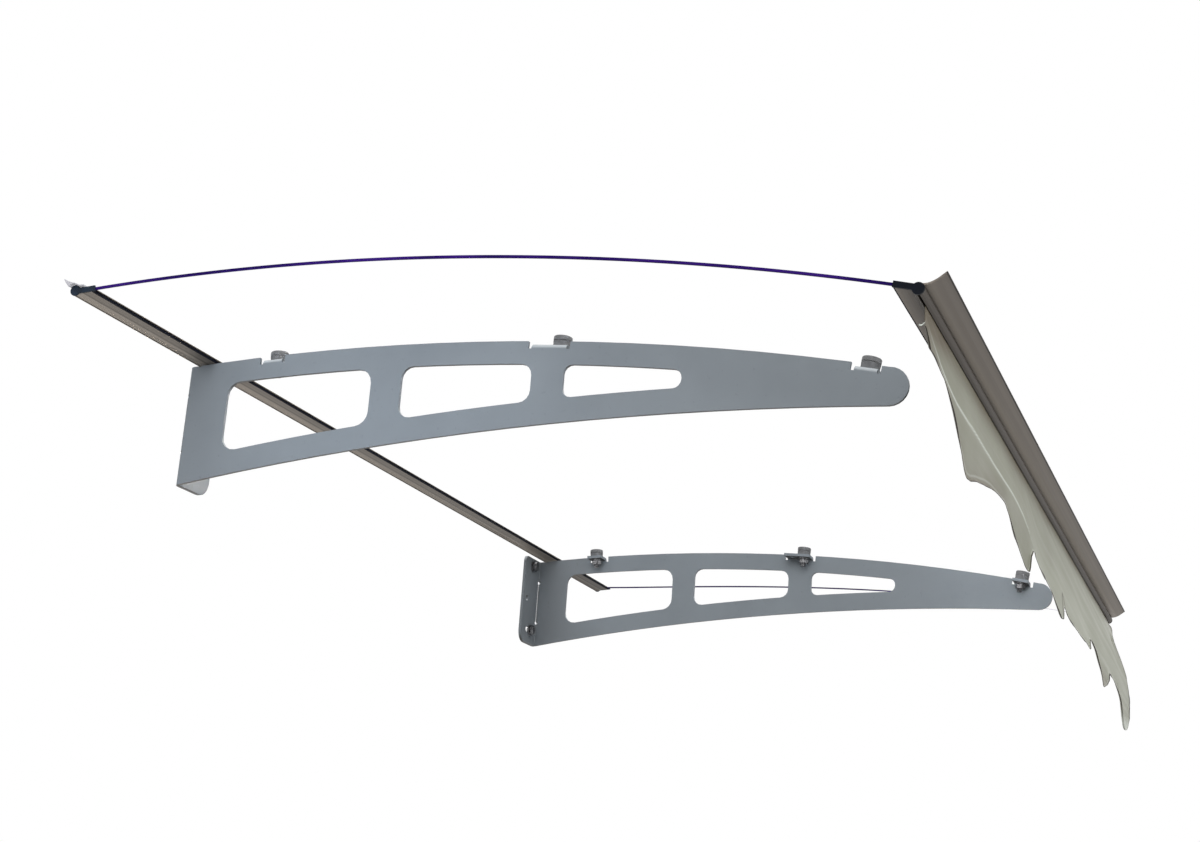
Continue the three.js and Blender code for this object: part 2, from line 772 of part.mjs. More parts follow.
// Wall screws: hex heads on washers against the flange, with their shanks up to the wall
function addWallScrews() {
  const washerY = plateThickness + gap;
  const headY = washerY + washerThickness + gap;
  const shank = rod(screwDiameter / 2, headY);
  shank.translate(0, 0, headY / 2);
  const head = geometryOf(hexBlank(screwHeadFlats, screwHeadHeight));
  head.translate(0, 0, headY);
  const joined = rod(screwDiameter / 2, screwHeadHeight);
  joined.translate(0, 0, headY + screwHeadHeight / 2 - gap);
  const screw = geometryOf(solid(shank).add(solid(joined)).add(solid(head)));
  const washer = ring(screwWasherDiameter / 2, screwDiameter / 2 + gap, washerThickness);
  const places = [
    ['upper', wallHoleInset, -topHoleDrop],
    ['lower', wallHoleInset - slotTravel / 2, slotRise - wallHeight],
  ];
  for (const [side, hand] of [['left', -1], ['right', 1]]) {
    for (const [level, inset, z] of places) {
      const frame = new THREE.Group();
      frame.position.set(hand * (bracketSpan / 2 - inset), 0, z);
      frame.rotation.x = Math.PI / 2;
      canopy.add(frame);
      addPart(frame, `${side}_${level}_wall_screw`, screw, zincSteel);
      addPart(frame, `${side}_${level}_wall_washer`, washer, zincSteel).position.z = washerY;
    }
  }
}

addRoofSheet();
addEdges();
addFilm();
addBrackets();
addFixings();
addWallScrews();

export default canopy;
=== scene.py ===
import math
import random

import bmesh
import bpy
from mathutils import Matrix, Vector


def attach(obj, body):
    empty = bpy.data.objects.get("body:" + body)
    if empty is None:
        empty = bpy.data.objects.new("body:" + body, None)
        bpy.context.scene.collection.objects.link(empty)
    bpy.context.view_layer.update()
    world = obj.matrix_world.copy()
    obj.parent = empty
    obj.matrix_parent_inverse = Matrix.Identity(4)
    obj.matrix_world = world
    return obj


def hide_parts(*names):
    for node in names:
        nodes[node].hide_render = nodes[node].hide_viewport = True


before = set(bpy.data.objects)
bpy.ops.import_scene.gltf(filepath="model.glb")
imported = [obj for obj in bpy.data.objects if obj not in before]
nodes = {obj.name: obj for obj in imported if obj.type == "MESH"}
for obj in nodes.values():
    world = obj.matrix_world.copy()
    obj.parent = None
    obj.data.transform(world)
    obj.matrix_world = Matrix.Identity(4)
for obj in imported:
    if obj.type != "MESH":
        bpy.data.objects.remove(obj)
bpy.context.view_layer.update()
scene = bpy.context.scene
scene.view_settings.view_transform = "Standard"
mm = 0.001
print("frame loaded:", len(nodes), "nodes")


# camera: low on the left, a little in front of the canopy, looking up at it
cameraView = {
    "place": (-2.2071, -1.1715, -0.599735),
    "right": (0.350353, -0.934035, 0.069509),
    "up": (-0.281073, -0.034056, 0.959082),
    "back": (-0.893449, -0.355554, -0.274464),
    "focalPixels": 1863.85,
    "imageWidth": 1200,
    "sensorWidth": 36.0,
    "clipStart": 0.05,
    "clipEnd": 60,
}


def addCamera(view):
    data = bpy.data.cameras.new("camera")
    data.sensor_fit = "HORIZONTAL"
    data.sensor_width = view["sensorWidth"]
    data.lens = view["focalPixels"] * view["sensorWidth"] / view["imageWidth"]
    data.clip_start = view["clipStart"]
    data.clip_end = view["clipEnd"]
    camera = bpy.data.objects.new("camera", data)
    turn = Matrix((view["right"], view["up"], view["back"])).transposed()
    camera.matrix_world = Matrix.Translation(view["place"]) @ turn.to_4x4()
    scene.collection.objects.link(camera)
    scene.camera = camera


addCamera(cameraView)
print("camera set")


# materials
def srgb(code):
    channels = [int(code[i:i + 2], 16) / 255 for i in (1, 3, 5)]
    linear = [c / 12.92 if c <= 0.04045 else ((c + 0.055) / 1.055) ** 2.4 for c in channels]
    return (*linear, 1.0)


def perMetre(size):
    return 1 / (size * mm)  # texture scale for a feature of that many millimetres


# adds one node; inputs holds values or the sockets to link, stops the colours of a ramp
def addNode(tree, kind, inputs=None, stops=None, **settings):
    made = tree.nodes.new(kind)
    for name, value in settings.items():
        setattr(made, name, value)
    for name, value in (inputs or {}).items():
        if isinstance(value, bpy.types.NodeSocket):
            tree.links.new(value, made.inputs[name])
        else:
            made.inputs[name].default_value = value
    for i, (place, colour) in enumerate(stops or []):
        elements = made.color_ramp.elements
        stop = elements[i] if i < 2 else elements.new(place)
        stop.position = place
        stop.color = colour
    return made


# a new material, its node tree and the place on the object in metres
def newMaterial(name):
    material = bpy.data.materials.new(name)
    material.use_nodes = True
    tree = material.node_tree
    tree.nodes.clear()
    return material, tree, addNode(tree, "ShaderNodeTexCoord").outputs["Object"]


def finishMaterial(material, shader):
    addNode(material.node_tree, "ShaderNodeOutputMaterial", {"Surface": shader.outputs[0]})
    return material


# noise with features of a size in mm, and the two tones that it mixes
def addMottle(tree, place, size, dark, light, detail=3.0, low=0.35, high=0.65):
    noise = addNode(tree, "ShaderNodeTexNoise", {
        "Vector": place, "Scale": perMetre(size), "Detail": detail,
    })
    tone = addNode(tree, "ShaderNodeValToRGB", {"Fac": noise.outputs["Fac"]}, stops=[
        (low, srgb(dark)), (high, srgb(light)),
    ])
    return noise.outputs["Fac"], tone.outputs["Color"]


# powder-coated steel: even grey-blue, faint orange peel and slow cloudy changes of tone; what faces up is
# paler, with dust and a painted highlight, the undersides of its edges carry a brown painted shade, and painted
# shade darkens it towards the wall
def makePowderCoat():
    look = {
        "dark": "#828A91", "light": "#8D959C", "cloud": 160, "roughLow": 0.42, "roughHigh": 0.58,
        "grime": "#767B80", "speck": 5, "speckFrom": 0.66, "speckFull": 0.8, "speckMost": 0.5,
        # painted shade towards the wall, by metres along the wall and out from it: most on the far bracket
        "wall": "#4A4744", "wallFrom": -0.13, "wallTo": -0.025, "wallLeast": 0.1, "wallMost": 0.33,
        "nearX": -0.5, "farX": 0.5,
        # by the height of the normal: pale on what faces up, as dust and a painted highlight, and painted shade
        # under the edges
        "dust": "#C3C9CD", "dustAndHighlightFrom": 0.05, "dustAndHighlightFull": 0.5, "dustAndHighlightMost": 0.9,
        "underShade": "#48443F", "underShadeFrom": -0.35, "underShadeFull": -0.85, "underShadeMost": 0.8,
        "peel": 2.2, "peelDepth": 0.05, "peelStrength": 0.35,
    }
    material, tree, place = newMaterial("grey powder coat on steel")
    cloud = addNode(tree, "ShaderNodeTexNoise", {
        "Vector": place, "Scale": perMetre(look["cloud"]), "Detail": 4.0, "Roughness": 0.6,
    })
    tone = addNode(tree, "ShaderNodeValToRGB", {"Fac": cloud.outputs["Fac"]}, stops=[
        (0.3, srgb(look["dark"])), (0.7, srgb(look["light"])),
    ])
    speck = addNode(tree, "ShaderNodeTexNoise", {
        "Vector": place, "Scale": perMetre(look["speck"]), "Detail": 2.0,
    })
    spots = addNode(tree, "ShaderNodeMapRange", {
        "Value": speck.outputs["Fac"], "From Min": look["speckFrom"], "From Max": look["speckFull"],
        "To Max": look["speckMost"],
    })
    where = addNode(tree, "ShaderNodeSeparateXYZ", {"Vector": place})
    # painted shade: darker towards the wall, more of it on the far bracket
    most = addNode(tree, "ShaderNodeMapRange", {
        "Value": where.outputs["X"], "From Min": look["nearX"], "From Max": look["farX"],
        "To Min": look["wallLeast"], "To Max": look["wallMost"],
    })
    wallShade = addNode(tree, "ShaderNodeMapRange", {
        "Value": where.outputs["Y"], "From Min": look["wallFrom"], "From Max": look["wallTo"],
        "To Max": most.outputs["Result"],
    }, interpolation_type="SMOOTHSTEP")
    facing = addNode(tree, "ShaderNodeNewGeometry").outputs["Normal"]
    upward = addNode(tree, "ShaderNodeSeparateXYZ", {"Vector": facing}).outputs["Z"]
    # pale on what faces up: dust and a painted highlight
    dustAndHighlight = addNode(tree, "ShaderNodeMapRange", {
        "Value": upward, "From Min": look["dustAndHighlightFrom"], "From Max": look["dustAndHighlightFull"], "To Max": look["dustAndHighlightMost"],
    })
    # painted shade: brown-dark on what faces down, the undersides of edges and tabs
    under = addNode(tree, "ShaderNodeMapRange", {
        "Value": upward, "From Min": look["underShadeFrom"], "From Max": look["underShadeFull"], "To Max": look["underShadeMost"],
    })
    colour = tone.outputs["Color"]
    for share, layer in ((spots, "grime"), (wallShade, "wall"), (dustAndHighlight, "dust"), (under, "underShade")):
        colour = addNode(tree, "ShaderNodeMix", {
            "Factor": share.outputs["Result"], 6: colour, 7: srgb(look[layer]),
        }, data_type="RGBA").outputs[2]
    rough = addNode(tree, "ShaderNodeMapRange", {
        "Value": cloud.outputs["Fac"], "From Min": 0.3, "From Max": 0.7,
        "To Min": look["roughLow"], "To Max": look["roughHigh"],
    })
    # real orange peel is finer; drawn at about two millimetres so that it shows
    peel = addNode(tree, "ShaderNodeTexNoise", {
        "Vector": place, "Scale": perMetre(look["peel"]), "Detail": 1.0,
    })
    bump = addNode(tree, "ShaderNodeBump", {
        "Height": peel.outputs["Fac"], "Strength": look["peelStrength"], "Distance": look["peelDepth"] * mm,
    })
    shader = addNode(tree, "ShaderNodeBsdfPrincipled", {
        "Base Color": colour, "Roughness": rough.outputs["Result"],
        "Normal": bump.outputs["Normal"], "IOR": 1.5,
    })
    return finishMaterial(material, shader)


# extruded aluminium, satin: warm grey with die lines along its length, darkened by the grime attribute, which
# holds grime and painted shade and highlights
def makeAluminium():
    look = {
        "dark": "#9D958C", "light": "#B3AAA0", "grime": "#35302C", "line": 1.1, "band": 5, "bandShare": 0.45,
        "stretch": 0.004, "roughLow": 0.5, "roughHigh": 0.64, "lineDepth": 0.03, "lineStrength": 0.3,
    }
    material, tree, place = newMaterial("satin extruded aluminium")
    drawn = addNode(tree, "ShaderNodeMapping", {
        "Vector": place, "Scale": (look["stretch"], 1.0, 1.0),
    })
    # die lines are finer than this on the real one; drawn at about a millimetre so that they show
    line = addNode(tree, "ShaderNodeTexNoise", {
        "Vector": drawn.outputs["Vector"], "Scale": perMetre(look["line"]), "Detail": 2.0,
    })
    band = addNode(tree, "ShaderNodeTexNoise", {
        "Vector": drawn.outputs["Vector"], "Scale": perMetre(look["band"]), "Detail": 1.0,
    })
    mixed = addNode(tree, "ShaderNodeMix", {
        "Factor": look["bandShare"], 2: line.outputs["Fac"], 3: band.outputs["Fac"],
    })
    tone = addNode(tree, "ShaderNodeValToRGB", {"Fac": mixed.outputs[0]}, stops=[
        (0.35, srgb(look["dark"])), (0.65, srgb(look["light"])),
    ])
    grimy = addNode(tree, "ShaderNodeAttribute", attribute_name="grime")
    # dark brown mixed in by the grime attribute: grime and painted shade lines, less of it where a highlight is
    # painted
    colour = addNode(tree, "ShaderNodeMix", {
        "Factor": grimy.outputs["Fac"], 6: tone.outputs["Color"], 7: srgb(look["grime"]),
    }, data_type="RGBA")
    rough = addNode(tree, "ShaderNodeMapRange", {
        "Value": line.outputs["Fac"], "From Min": 0.3, "From Max": 0.7,
        "To Min": look["roughLow"], "To Max": look["roughHigh"],
    })
    bump = addNode(tree, "ShaderNodeBump", {
        "Height": line.outputs["Fac"], "Strength": look["lineStrength"], "Distance": look["lineDepth"] * mm,
    })
    shader = addNode(tree, "ShaderNodeBsdfPrincipled", {
        "Base Color": colour.outputs[2], "Roughness": rough.outputs["Result"],
        "Normal": bump.outputs["Normal"], "Metallic": 0.9,
    })
    return finishMaterial(material, shader)


# moulded or extruded plastics and rubbers: one tone with a fine matt grain
def makeMoulded(name, look):
    material, tree, place = newMaterial(name)
    grain = addNode(tree, "ShaderNodeTexNoise", {
        "Vector": place, "Scale": perMetre(look["grain"]), "Detail": 2.0,
    })
    tone = addMottle(tree, place, look["cloud"], look["dark"], look["light"])[1]
    rough = addNode(tree, "ShaderNodeMapRange", {
        "Value": grain.outputs["Fac"], "From Min": 0.3, "From Max": 0.7,
        "To Min": look["roughLow"], "To Max": look["roughHigh"],
    })
    bump = addNode(tree, "ShaderNodeBump", {
        "Height": grain.outputs["Fac"], "Strength": 0.4, "Distance": look["depth"] * mm,
    })
    shader = addNode(tree, "ShaderNodeBsdfPrincipled", {
        "Base Color": tone, "Roughness": rough.outputs["Result"],
        "Normal": bump.outputs["Normal"], "Specular IOR Level": look["gloss"],
    })
    return finishMaterial(material, shader)


# zinc-plated steel: mid grey metal, patchy where the plating has dulled outdoors
def makeZinc():
    look = {"dark": "#5C5C5E", "light": "#A2A2A4", "patch": 3, "roughLow": 0.22, "roughHigh": 0.42}
    material, tree, place = newMaterial("zinc-plated steel")
    patch, tone = addMottle(tree, place, look["patch"], look["dark"], look["light"])
    rough = addNode(tree, "ShaderNodeMapRange", {
        "Value": patch, "From Min": 0.3, "From Max": 0.7,
        "To Min": look["roughHigh"], "To Max": look["roughLow"],
    })
    shader = addNode(tree, "ShaderNodeBsdfPrincipled", {
        "Base Color": tone, "Roughness": rough.outputs["Result"], "Metallic": 1.0,
    })
    return finishMaterial(material, shader)


# clear acrylic sheet: see-through and bending what is behind it a little; lamps and sky shine through it
# only its upper side mirrors the sky, blurred by dust; its rims carry a painted dark band that stands for the
# sawn edges seen inside it, darker on its upper side than on its underside
def makeClearSheet():
    look = {
        "tint": "#FFFFFF", "ior": 1.49, "dust": 40, "roughLow": 0.0, "roughHigh": 0.03,
        "rimAbove": "#281852", "rimBelow": "#6445BE", "rimFrom": 0.05, "rimFull": 0.3, "rimRough": 0.45,
        # a normal this high belongs to the upper side
        "upper": 0.1, "sheen": 0.22, "sheenRough": 0.35,
    }
    material, tree, place = newMaterial("clear acrylic sheet")
    dust = addNode(tree, "ShaderNodeTexNoise", {
        "Vector": place, "Scale": perMetre(look["dust"]), "Detail": 5.0,
    })
    rough = addNode(tree, "ShaderNodeMapRange", {
        "Value": dust.outputs["Fac"], "From Min": 0.5, "From Max": 0.75,
        "To Min": look["roughLow"], "To Max": look["roughHigh"],
    })
    solid = addNode(tree, "ShaderNodeBsdfRefraction", {
        "Color": srgb(look["tint"]), "Roughness": rough.outputs["Result"], "IOR": look["ior"],
    })
    side = addNode(tree, "ShaderNodeNewGeometry")
    outside = addNode(tree, "ShaderNodeMath", {
        0: 1.0, 1: side.outputs["Backfacing"],
    }, operation="SUBTRACT")
    height = addNode(tree, "ShaderNodeSeparateXYZ", {"Vector": side.outputs["Normal"]}).outputs["Z"]
    above = addNode(tree, "ShaderNodeMapRange", {
        "Value": height, "From Max": look["upper"], "To Max": look["sheen"],
    })
    top = addNode(tree, "ShaderNodeMath", {
        0: above.outputs["Result"], 1: outside.outputs[0],
    }, operation="MULTIPLY")
    slant = addNode(tree, "ShaderNodeFresnel", {"IOR": look["ior"]})
    sheen = addNode(tree, "ShaderNodeMath", {
        0: top.outputs[0], 1: slant.outputs[0],
    }, operation="MULTIPLY")
    mirror = addNode(tree, "ShaderNodeBsdfAnisotropic", {
        "Color": srgb(look["tint"]), "Roughness": look["sheenRough"],
    })
    glossy = addNode(tree, "ShaderNodeMixShader", {
        "Fac": sheen.outputs[0], 1: solid.outputs[0], 2: mirror.outputs[0],
    })
    near = addNode(tree, "ShaderNodeAttribute", attribute_name="sheetPaintedRim")
    share = addNode(tree, "ShaderNodeMapRange", {
        "Value": near.outputs["Fac"], "From Min": look["rimFrom"], "From Max": look["rimFull"],
        "To Max": outside.outputs[0],
    }, interpolation_type="SMOOTHSTEP")
    upper = addNode(tree, "ShaderNodeMapRange", {"Value": height, "From Max": look["upper"]})
    # painted rim band: a darker tone on the upper side, a lighter one on the underside, which gets little light
    violet = addNode(tree, "ShaderNodeMix", {
        "Factor": upper.outputs["Result"], 6: srgb(look["rimBelow"]), 7: srgb(look["rimAbove"]),
    }, data_type="RGBA")
    rim = addNode(tree, "ShaderNodeBsdfPrincipled", {
        "Base Color": violet.outputs[2], "Roughness": look["rimRough"], "Specular IOR Level": 0.0,
    })
    rimmed = addNode(tree, "ShaderNodeMixShader", {
        "Fac": share.outputs["Result"], 1: glossy.outputs[0], 2: rim.outputs[0],
    })
    clear = addNode(tree, "ShaderNodeBsdfTransparent", {"Color": srgb(look["tint"])})
    path = addNode(tree, "ShaderNodeLightPath")
    light = addNode(tree, "ShaderNodeMath", {
        0: path.outputs["Is Shadow Ray"], 1: path.outputs["Is Diffuse Ray"],
    }, operation="MAXIMUM")
    shader = addNode(tree, "ShaderNodeMixShader", {
        "Fac": light.outputs[0], 1: rimmed.outputs[0], 2: clear.outputs[0],
    })
    return finishMaterial(material, shader)


# sawn edge of the clear sheet: light caught inside turns it navy, violet in places
def makeSheetEdge():
    look = {"navy": "#26155C", "violet": "#3C1F7C", "patch": 70, "rough": 0.45}
    material, tree, place = newMaterial("sawn edge of clear acrylic")
    tone = addMottle(tree, place, look["patch"], look["navy"], look["violet"],
                     detail=2.0, low=0.4, high=0.62)[1]
    shader = addNode(tree, "ShaderNodeBsdfPrincipled", {
        "Base Color": tone, "Roughness": look["rough"], "Specular IOR Level": 0.0,
    })
    return finishMaterial(material, shader)


# soft clear vinyl, aged milky: pale, smooth, half see-through and a little cloudy
def makePaleSeal():
    look = {
        "dark": "#C9C8D2", "light": "#DEDDE4", "cloud": 14, "cover": 0.6,
        "roughLow": 0.3, "roughHigh": 0.5,
    }
    material, tree, place = newMaterial("pale soft vinyl")
    cloud, tone = addMottle(tree, place, look["cloud"], look["dark"], look["light"])
    rough = addNode(tree, "ShaderNodeMapRange", {
        "Value": cloud, "From Min": 0.35, "From Max": 0.65,
        "To Min": look["roughLow"], "To Max": look["roughHigh"],
    })
    shader = addNode(tree, "ShaderNodeBsdfPrincipled", {
        "Base Color": tone, "Roughness": rough.outputs["Result"],
        "IOR": 1.5, "Alpha": look["cover"],
    })
    return finishMaterial(material, shader)


# weathered milky film: grey-olive in long soft streaks, lighter far out, brown under the profile with dirt and
# painted shade, brown with dirt along the tear, darker below the crease as painted shade, with a painted
# highlight along its crease and painted shade at its torn rim
def makeFilm():
    look = {
        "grey": "#797969", "pale": "#8A8C7D", "cloud": 70, "streak": 11, "streakShare": 0.6, "stretch": 0.035,
        "roughLow": 0.38, "roughHigh": 0.56, "wrinkleDepth": 0.2, "wrinkleStrength": 0.3,
        "layers": {
            "filmFar": "#9B9D8E", "filmDirtAndShade": "#5F5646", "filmWhiteAndHighlight": "#CBD0C8", "filmRimShade": "#362F24",
        },
    }
    material, tree, place = newMaterial("weathered milky film")
    along = addNode(tree, "ShaderNodeAttribute", attribute_name="filmAlong")
    drawn = addNode(tree, "ShaderNodeMapping", {
        "Vector": along.outputs["Vector"], "Scale": (look["stretch"], 1.0, 1.0),
    })
    streak = addNode(tree, "ShaderNodeTexNoise", {
        "Vector": drawn.outputs["Vector"], "Scale": perMetre(look["streak"]), "Detail": 3.0,
    })
    cloud = addNode(tree, "ShaderNodeTexNoise", {
        "Vector": place, "Scale": perMetre(look["cloud"]), "Detail": 4.0, "Roughness": 0.55,
    })
    mixed = addNode(tree, "ShaderNodeMix", {
        "Factor": look["streakShare"], 2: cloud.outputs["Fac"], 3: streak.outputs["Fac"],
    })
    tone = addNode(tree, "ShaderNodeValToRGB", {"Fac": mixed.outputs[0]}, stops=[
        (0.36, srgb(look["grey"])), (0.66, srgb(look["pale"])),
    ])
    colour = tone.outputs["Color"]
    for layer, code in look["layers"].items():
        share = addNode(tree, "ShaderNodeAttribute", attribute_name=layer)
        colour = addNode(tree, "ShaderNodeMix", {
            "Factor": share.outputs["Fac"], 6: colour, 7: srgb(code),
        }, data_type="RGBA").outputs[2]
    rough = addNode(tree, "ShaderNodeMapRange", {
        "Value": streak.outputs["Fac"], "From Min": 0.3, "From Max": 0.7,
        "To Min": look["roughLow"], "To Max": look["roughHigh"],
    })
    bump = addNode(tree, "ShaderNodeBump", {
        "Height": mixed.outputs[0], "Strength": look["wrinkleStrength"], "Distance": look["wrinkleDepth"] * mm,
    })
    shader = addNode(tree, "ShaderNodeBsdfPrincipled", {
        "Base Color": colour, "Roughness": rough.outputs["Result"],
        "Normal": bump.outputs["Normal"], "IOR": 1.5, "Specular IOR Level": 0.3,
    })
    return finishMaterial(material, shader)


finishes = {
    "powderCoat": makePowderCoat(),
    "aluminium": makeAluminium(),
    "zinc": makeZinc(),
    "clearSheet": makeClearSheet(),
    "sheetEdge": makeSheetEdge(),
    "paleSeal": makePaleSeal(),
    "film": makeFilm(),
    "blackRubber": makeMoulded("black extruded rubber", {
        "dark": "#080A14", "light": "#101320", "grain": 0.8, "cloud": 30,
        "roughLow": 0.6, "roughHigh": 0.8, "depth": 0.03, "gloss": 0.12,
    }),
    # the wall end caps are given a lighter tone than the front end caps
    "wallCapPlastic": makeMoulded("dark moulded plastic, lighter", {
        "dark": "#1C2734", "light": "#253446", "grain": 0.7, "cloud": 9,
        "roughLow": 0.38, "roughHigh": 0.55, "depth": 0.03, "gloss": 0.15,
    }),
    "frontCapPlastic": makeMoulded("dark moulded plastic", {
        "dark": "#060A12", "light": "#0A111C", "grain": 0.7, "cloud": 9,
        "roughLow": 0.38, "roughHigh": 0.55, "depth": 0.03, "gloss": 0.08,
    }),
    "greyPlastic": makeMoulded("grey moulded plastic", {
        "dark": "#6D6E70", "light": "#7E7F81", "grain": 0.9, "cloud": 12,
        "roughLow": 0.45, "roughHigh": 0.62, "depth": 0.04, "gloss": 0.35,
    }),
    # painted light: the cap's underside is painted pale, lifting the shade in the gap over the sheet
    "paleUnderCap": makeMoulded("pale paint under the cap", {
        "dark": "#B2B2B3", "light": "#C4C4C5", "grain": 0.6, "cloud": 8,
        "roughLow": 0.8, "roughHigh": 0.95, "depth": 0.03, "gloss": 0.2,
    }),
    "greyRubber": makeMoulded("grey soft rubber", {
        "dark": "#6C6D6F", "light": "#7B7C7E", "grain": 0.9, "cloud": 10,
        "roughLow": 0.65, "roughHigh": 0.85, "depth": 0.03, "gloss": 0.3,
    }),
}
print("materials made:", len(finishes))


# pieces
xAxis, yAxis = Vector((1, 0, 0)), Vector((0, 1, 0))


def soft(value):
    value = min(max(value, 0.0), 1.0)
    return value * value * (3 - 2 * value)


# straight lines through a list of (place, value)
def between(points, place):
    for (a, low), (b, high) in zip(points, points[1:]):
        if place <= b:
            return low + (high - low) * (place - a) / (b - a)
    return points[-1][1]


def newPiece(name, bm, materials, node, smoothBelow=40.0, weighted=True):
    for face in bm.faces:
        face.smooth = True
    mesh = bpy.data.meshes.new(name)
    bm.to_mesh(mesh)
    bm.free()
    for material in materials:
        mesh.materials.append(material)
    mesh.set_sharp_from_angle(angle=math.radians(smoothBelow))
    piece = bpy.data.objects.new(name, mesh)
    scene.collection.objects.link(piece)
    if weighted:
        normals = piece.modifiers.new("weighted normals", "WEIGHTED_NORMAL")
        normals.keep_sharp = True
    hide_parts(node)
    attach(piece, "root")
    return piece


# adds a row of vertices along a plane square to an axis, at a place in mm
def cutAcross(bm, axis, place, merge):
    bmesh.ops.bisect_plane(bm, geom=bm.verts[:] + bm.edges[:] + bm.faces[:], dist=merge * mm,
                           plane_co=axis * (place * mm), plane_no=axis)


def easeEdges(bm, edges, width):
    bmesh.ops.bevel(bm, geom=edges, offset=width * mm, offset_type="OFFSET", affect="EDGES",
                    segments=2, profile=0.5, material=-1, clamp_overlap=True)


# lengths in mm, angles in degrees
copied = {"merge": 0.002, "flatBelow": 0.15, "hardAbove": 30.0}


# a node's own shape, merged, with its hard edges eased
def easedCopy(node, width):
    bm = bmesh.new()
    bm.from_mesh(nodes[node].data)
    bmesh.ops.remove_doubles(bm, verts=bm.verts[:], dist=copied["merge"] * mm)
    bmesh.ops.dissolve_limit(bm, angle_limit=math.radians(copied["flatBelow"]), verts=bm.verts[:],
                             edges=bm.edges[:])
    hardAngle = math.radians(copied["hardAbove"])
    easeEdges(bm, [e for e in bm.edges if e.is_manifold and e.calc_face_angle(0) > hardAngle], width)
    return bm


# shapes that keep their node's form and get eased edges: node, finish, slot, easing in mm
easedPieces = {
    "left_bracket": ("powderCoat", "grey_powder_coat", 0.5),
    "right_bracket": ("powderCoat", "grey_powder_coat", 0.5),
    "wall_profile": ("aluminium", "satin_aluminium", 0.2),
    "front_profile": ("aluminium", "satin_aluminium", 0.2),
    "wall_gasket": ("blackRubber", "black_rubber", 0.1),
    "front_gasket": ("blackRubber", "black_rubber", 0.1),
    "left_wall_end_cap": ("wallCapPlastic", "dark_plastic", 0.3),
    "right_wall_end_cap": ("wallCapPlastic", "dark_plastic", 0.3),
    "left_front_end_cap": ("frontCapPlastic", "dark_plastic", 0.3),
    "right_front_end_cap": ("frontCapPlastic", "dark_plastic", 0.3),
}


# grime and painted light, by places in mm: on the front profile most on the grooved tube, and the lip darker
# towards its outer edge, whose rim is painted dark as shade; on the wall profile more towards its far end, in
# painted stripes along its underside, a pale highlight line and a dark shadow line, with a painted bright
# stretch before the far bracket
grime = {
    "halfLength": 747.7,
    "tubeY": -869.0, "tubeZ": -45.7, "tubeRadius": 5.6, "tube": 0.9, "armsFrom": -863.9, "arms": 0.58,
    "lipLow": -42.4, "lipFrom": -876.0, "lipWidth": 14.0, "lipRim": -892.5, "lipRimWidth": 0.15,
    "lipInner": 0.53, "lipOuter": 0.73, "farCleaner": 0.12,
    "wallNear": 0.42, "wallFar": 0.72, "stripeFade": 0.7,
    "brightFrom": 330.0, "brightTo": 516.0, "bright": 0.6, "beyond": 0.14,
    # rows of vertices that carry the painted bright stretch
    "brightCuts": [330.0, 400.0, 460.0, 515.0, 517.0],
    "cutShift": -0.01, "cutMerge": 0.001,
    # painted stripes of the wall profile, a pale highlight line and a dark shadow line: place along y in mm,
    # more or less grime
    "stripes": [
        (-34.0, -0.1), (-30.8, -0.1), (-30.2, 0.06), (-24.2, 0.05), (-23.2, 0.23), (-21.8, 0.23),
        (-20.6, -0.2), (-17.5, -0.33), (-7.0, -0.33),
    ],
}


def profileGrimeAndShade(node, place):
    x, y, z = place.x / mm, place.y / mm, place.z / mm
    far = 0.5 + 0.5 * x / grime["halfLength"]
    if node == "wall_profile":
        stripe = between(grime["stripes"], y) * (1 - grime["stripeFade"] * far)
        # painted bright stretch before the far bracket
        if x < grime["brightTo"]:
            share = (x - grime["brightFrom"]) / (grime["brightTo"] - grime["brightFrom"])
            stripe -= grime["bright"] * soft(share)
        else:
            stripe += grime["beyond"]
        return max(0.0, grime["wallNear"] + (grime["wallFar"] - grime["wallNear"]) * far + stripe)
    # the lip's outer rim is painted dark, as shade
    if y < grime["lipRim"]:
        return 1.0
    if math.hypot(y - grime["tubeY"], z - grime["tubeZ"]) < grime["tubeRadius"] and z < grime["lipLow"]:
        return grime["tube"]
    if y > grime["armsFrom"]:
        return grime["arms"]
    outer = soft((grime["lipFrom"] - y) / grime["lipWidth"])
    return grime["lipInner"] + (grime["lipOuter"] - grime["lipInner"]) * outer - grime["farCleaner"] * far


def addEased(node, finish, width):
    bm = easedCopy(node, width)
    if finish == "aluminium":
        stripePlaces = [stripe[0] for stripe in grime["stripes"][1:-1]]
        for y in [grime["lipRim"], grime["lipRim"] + grime["lipRimWidth"]] + stripePlaces:
            cutAcross(bm, yAxis, y + grime["cutShift"], grime["cutMerge"])
        for x in grime["brightCuts"] if node == "wall_profile" else []:
            cutAcross(bm, xAxis, x, grime["cutMerge"])
        grimeAndShadeLayer = bm.verts.layers.float.new("grime")
        for vert in bm.verts:
            vert[grimeAndShadeLayer] = profileGrimeAndShade(node, vert.co)
    newPiece("finished_" + node, bm, [finishes[finish]], node)


for node, (finish, slot, width) in easedPieces.items():
    addEased(node, finish, width)
print("brackets and profiles finished")


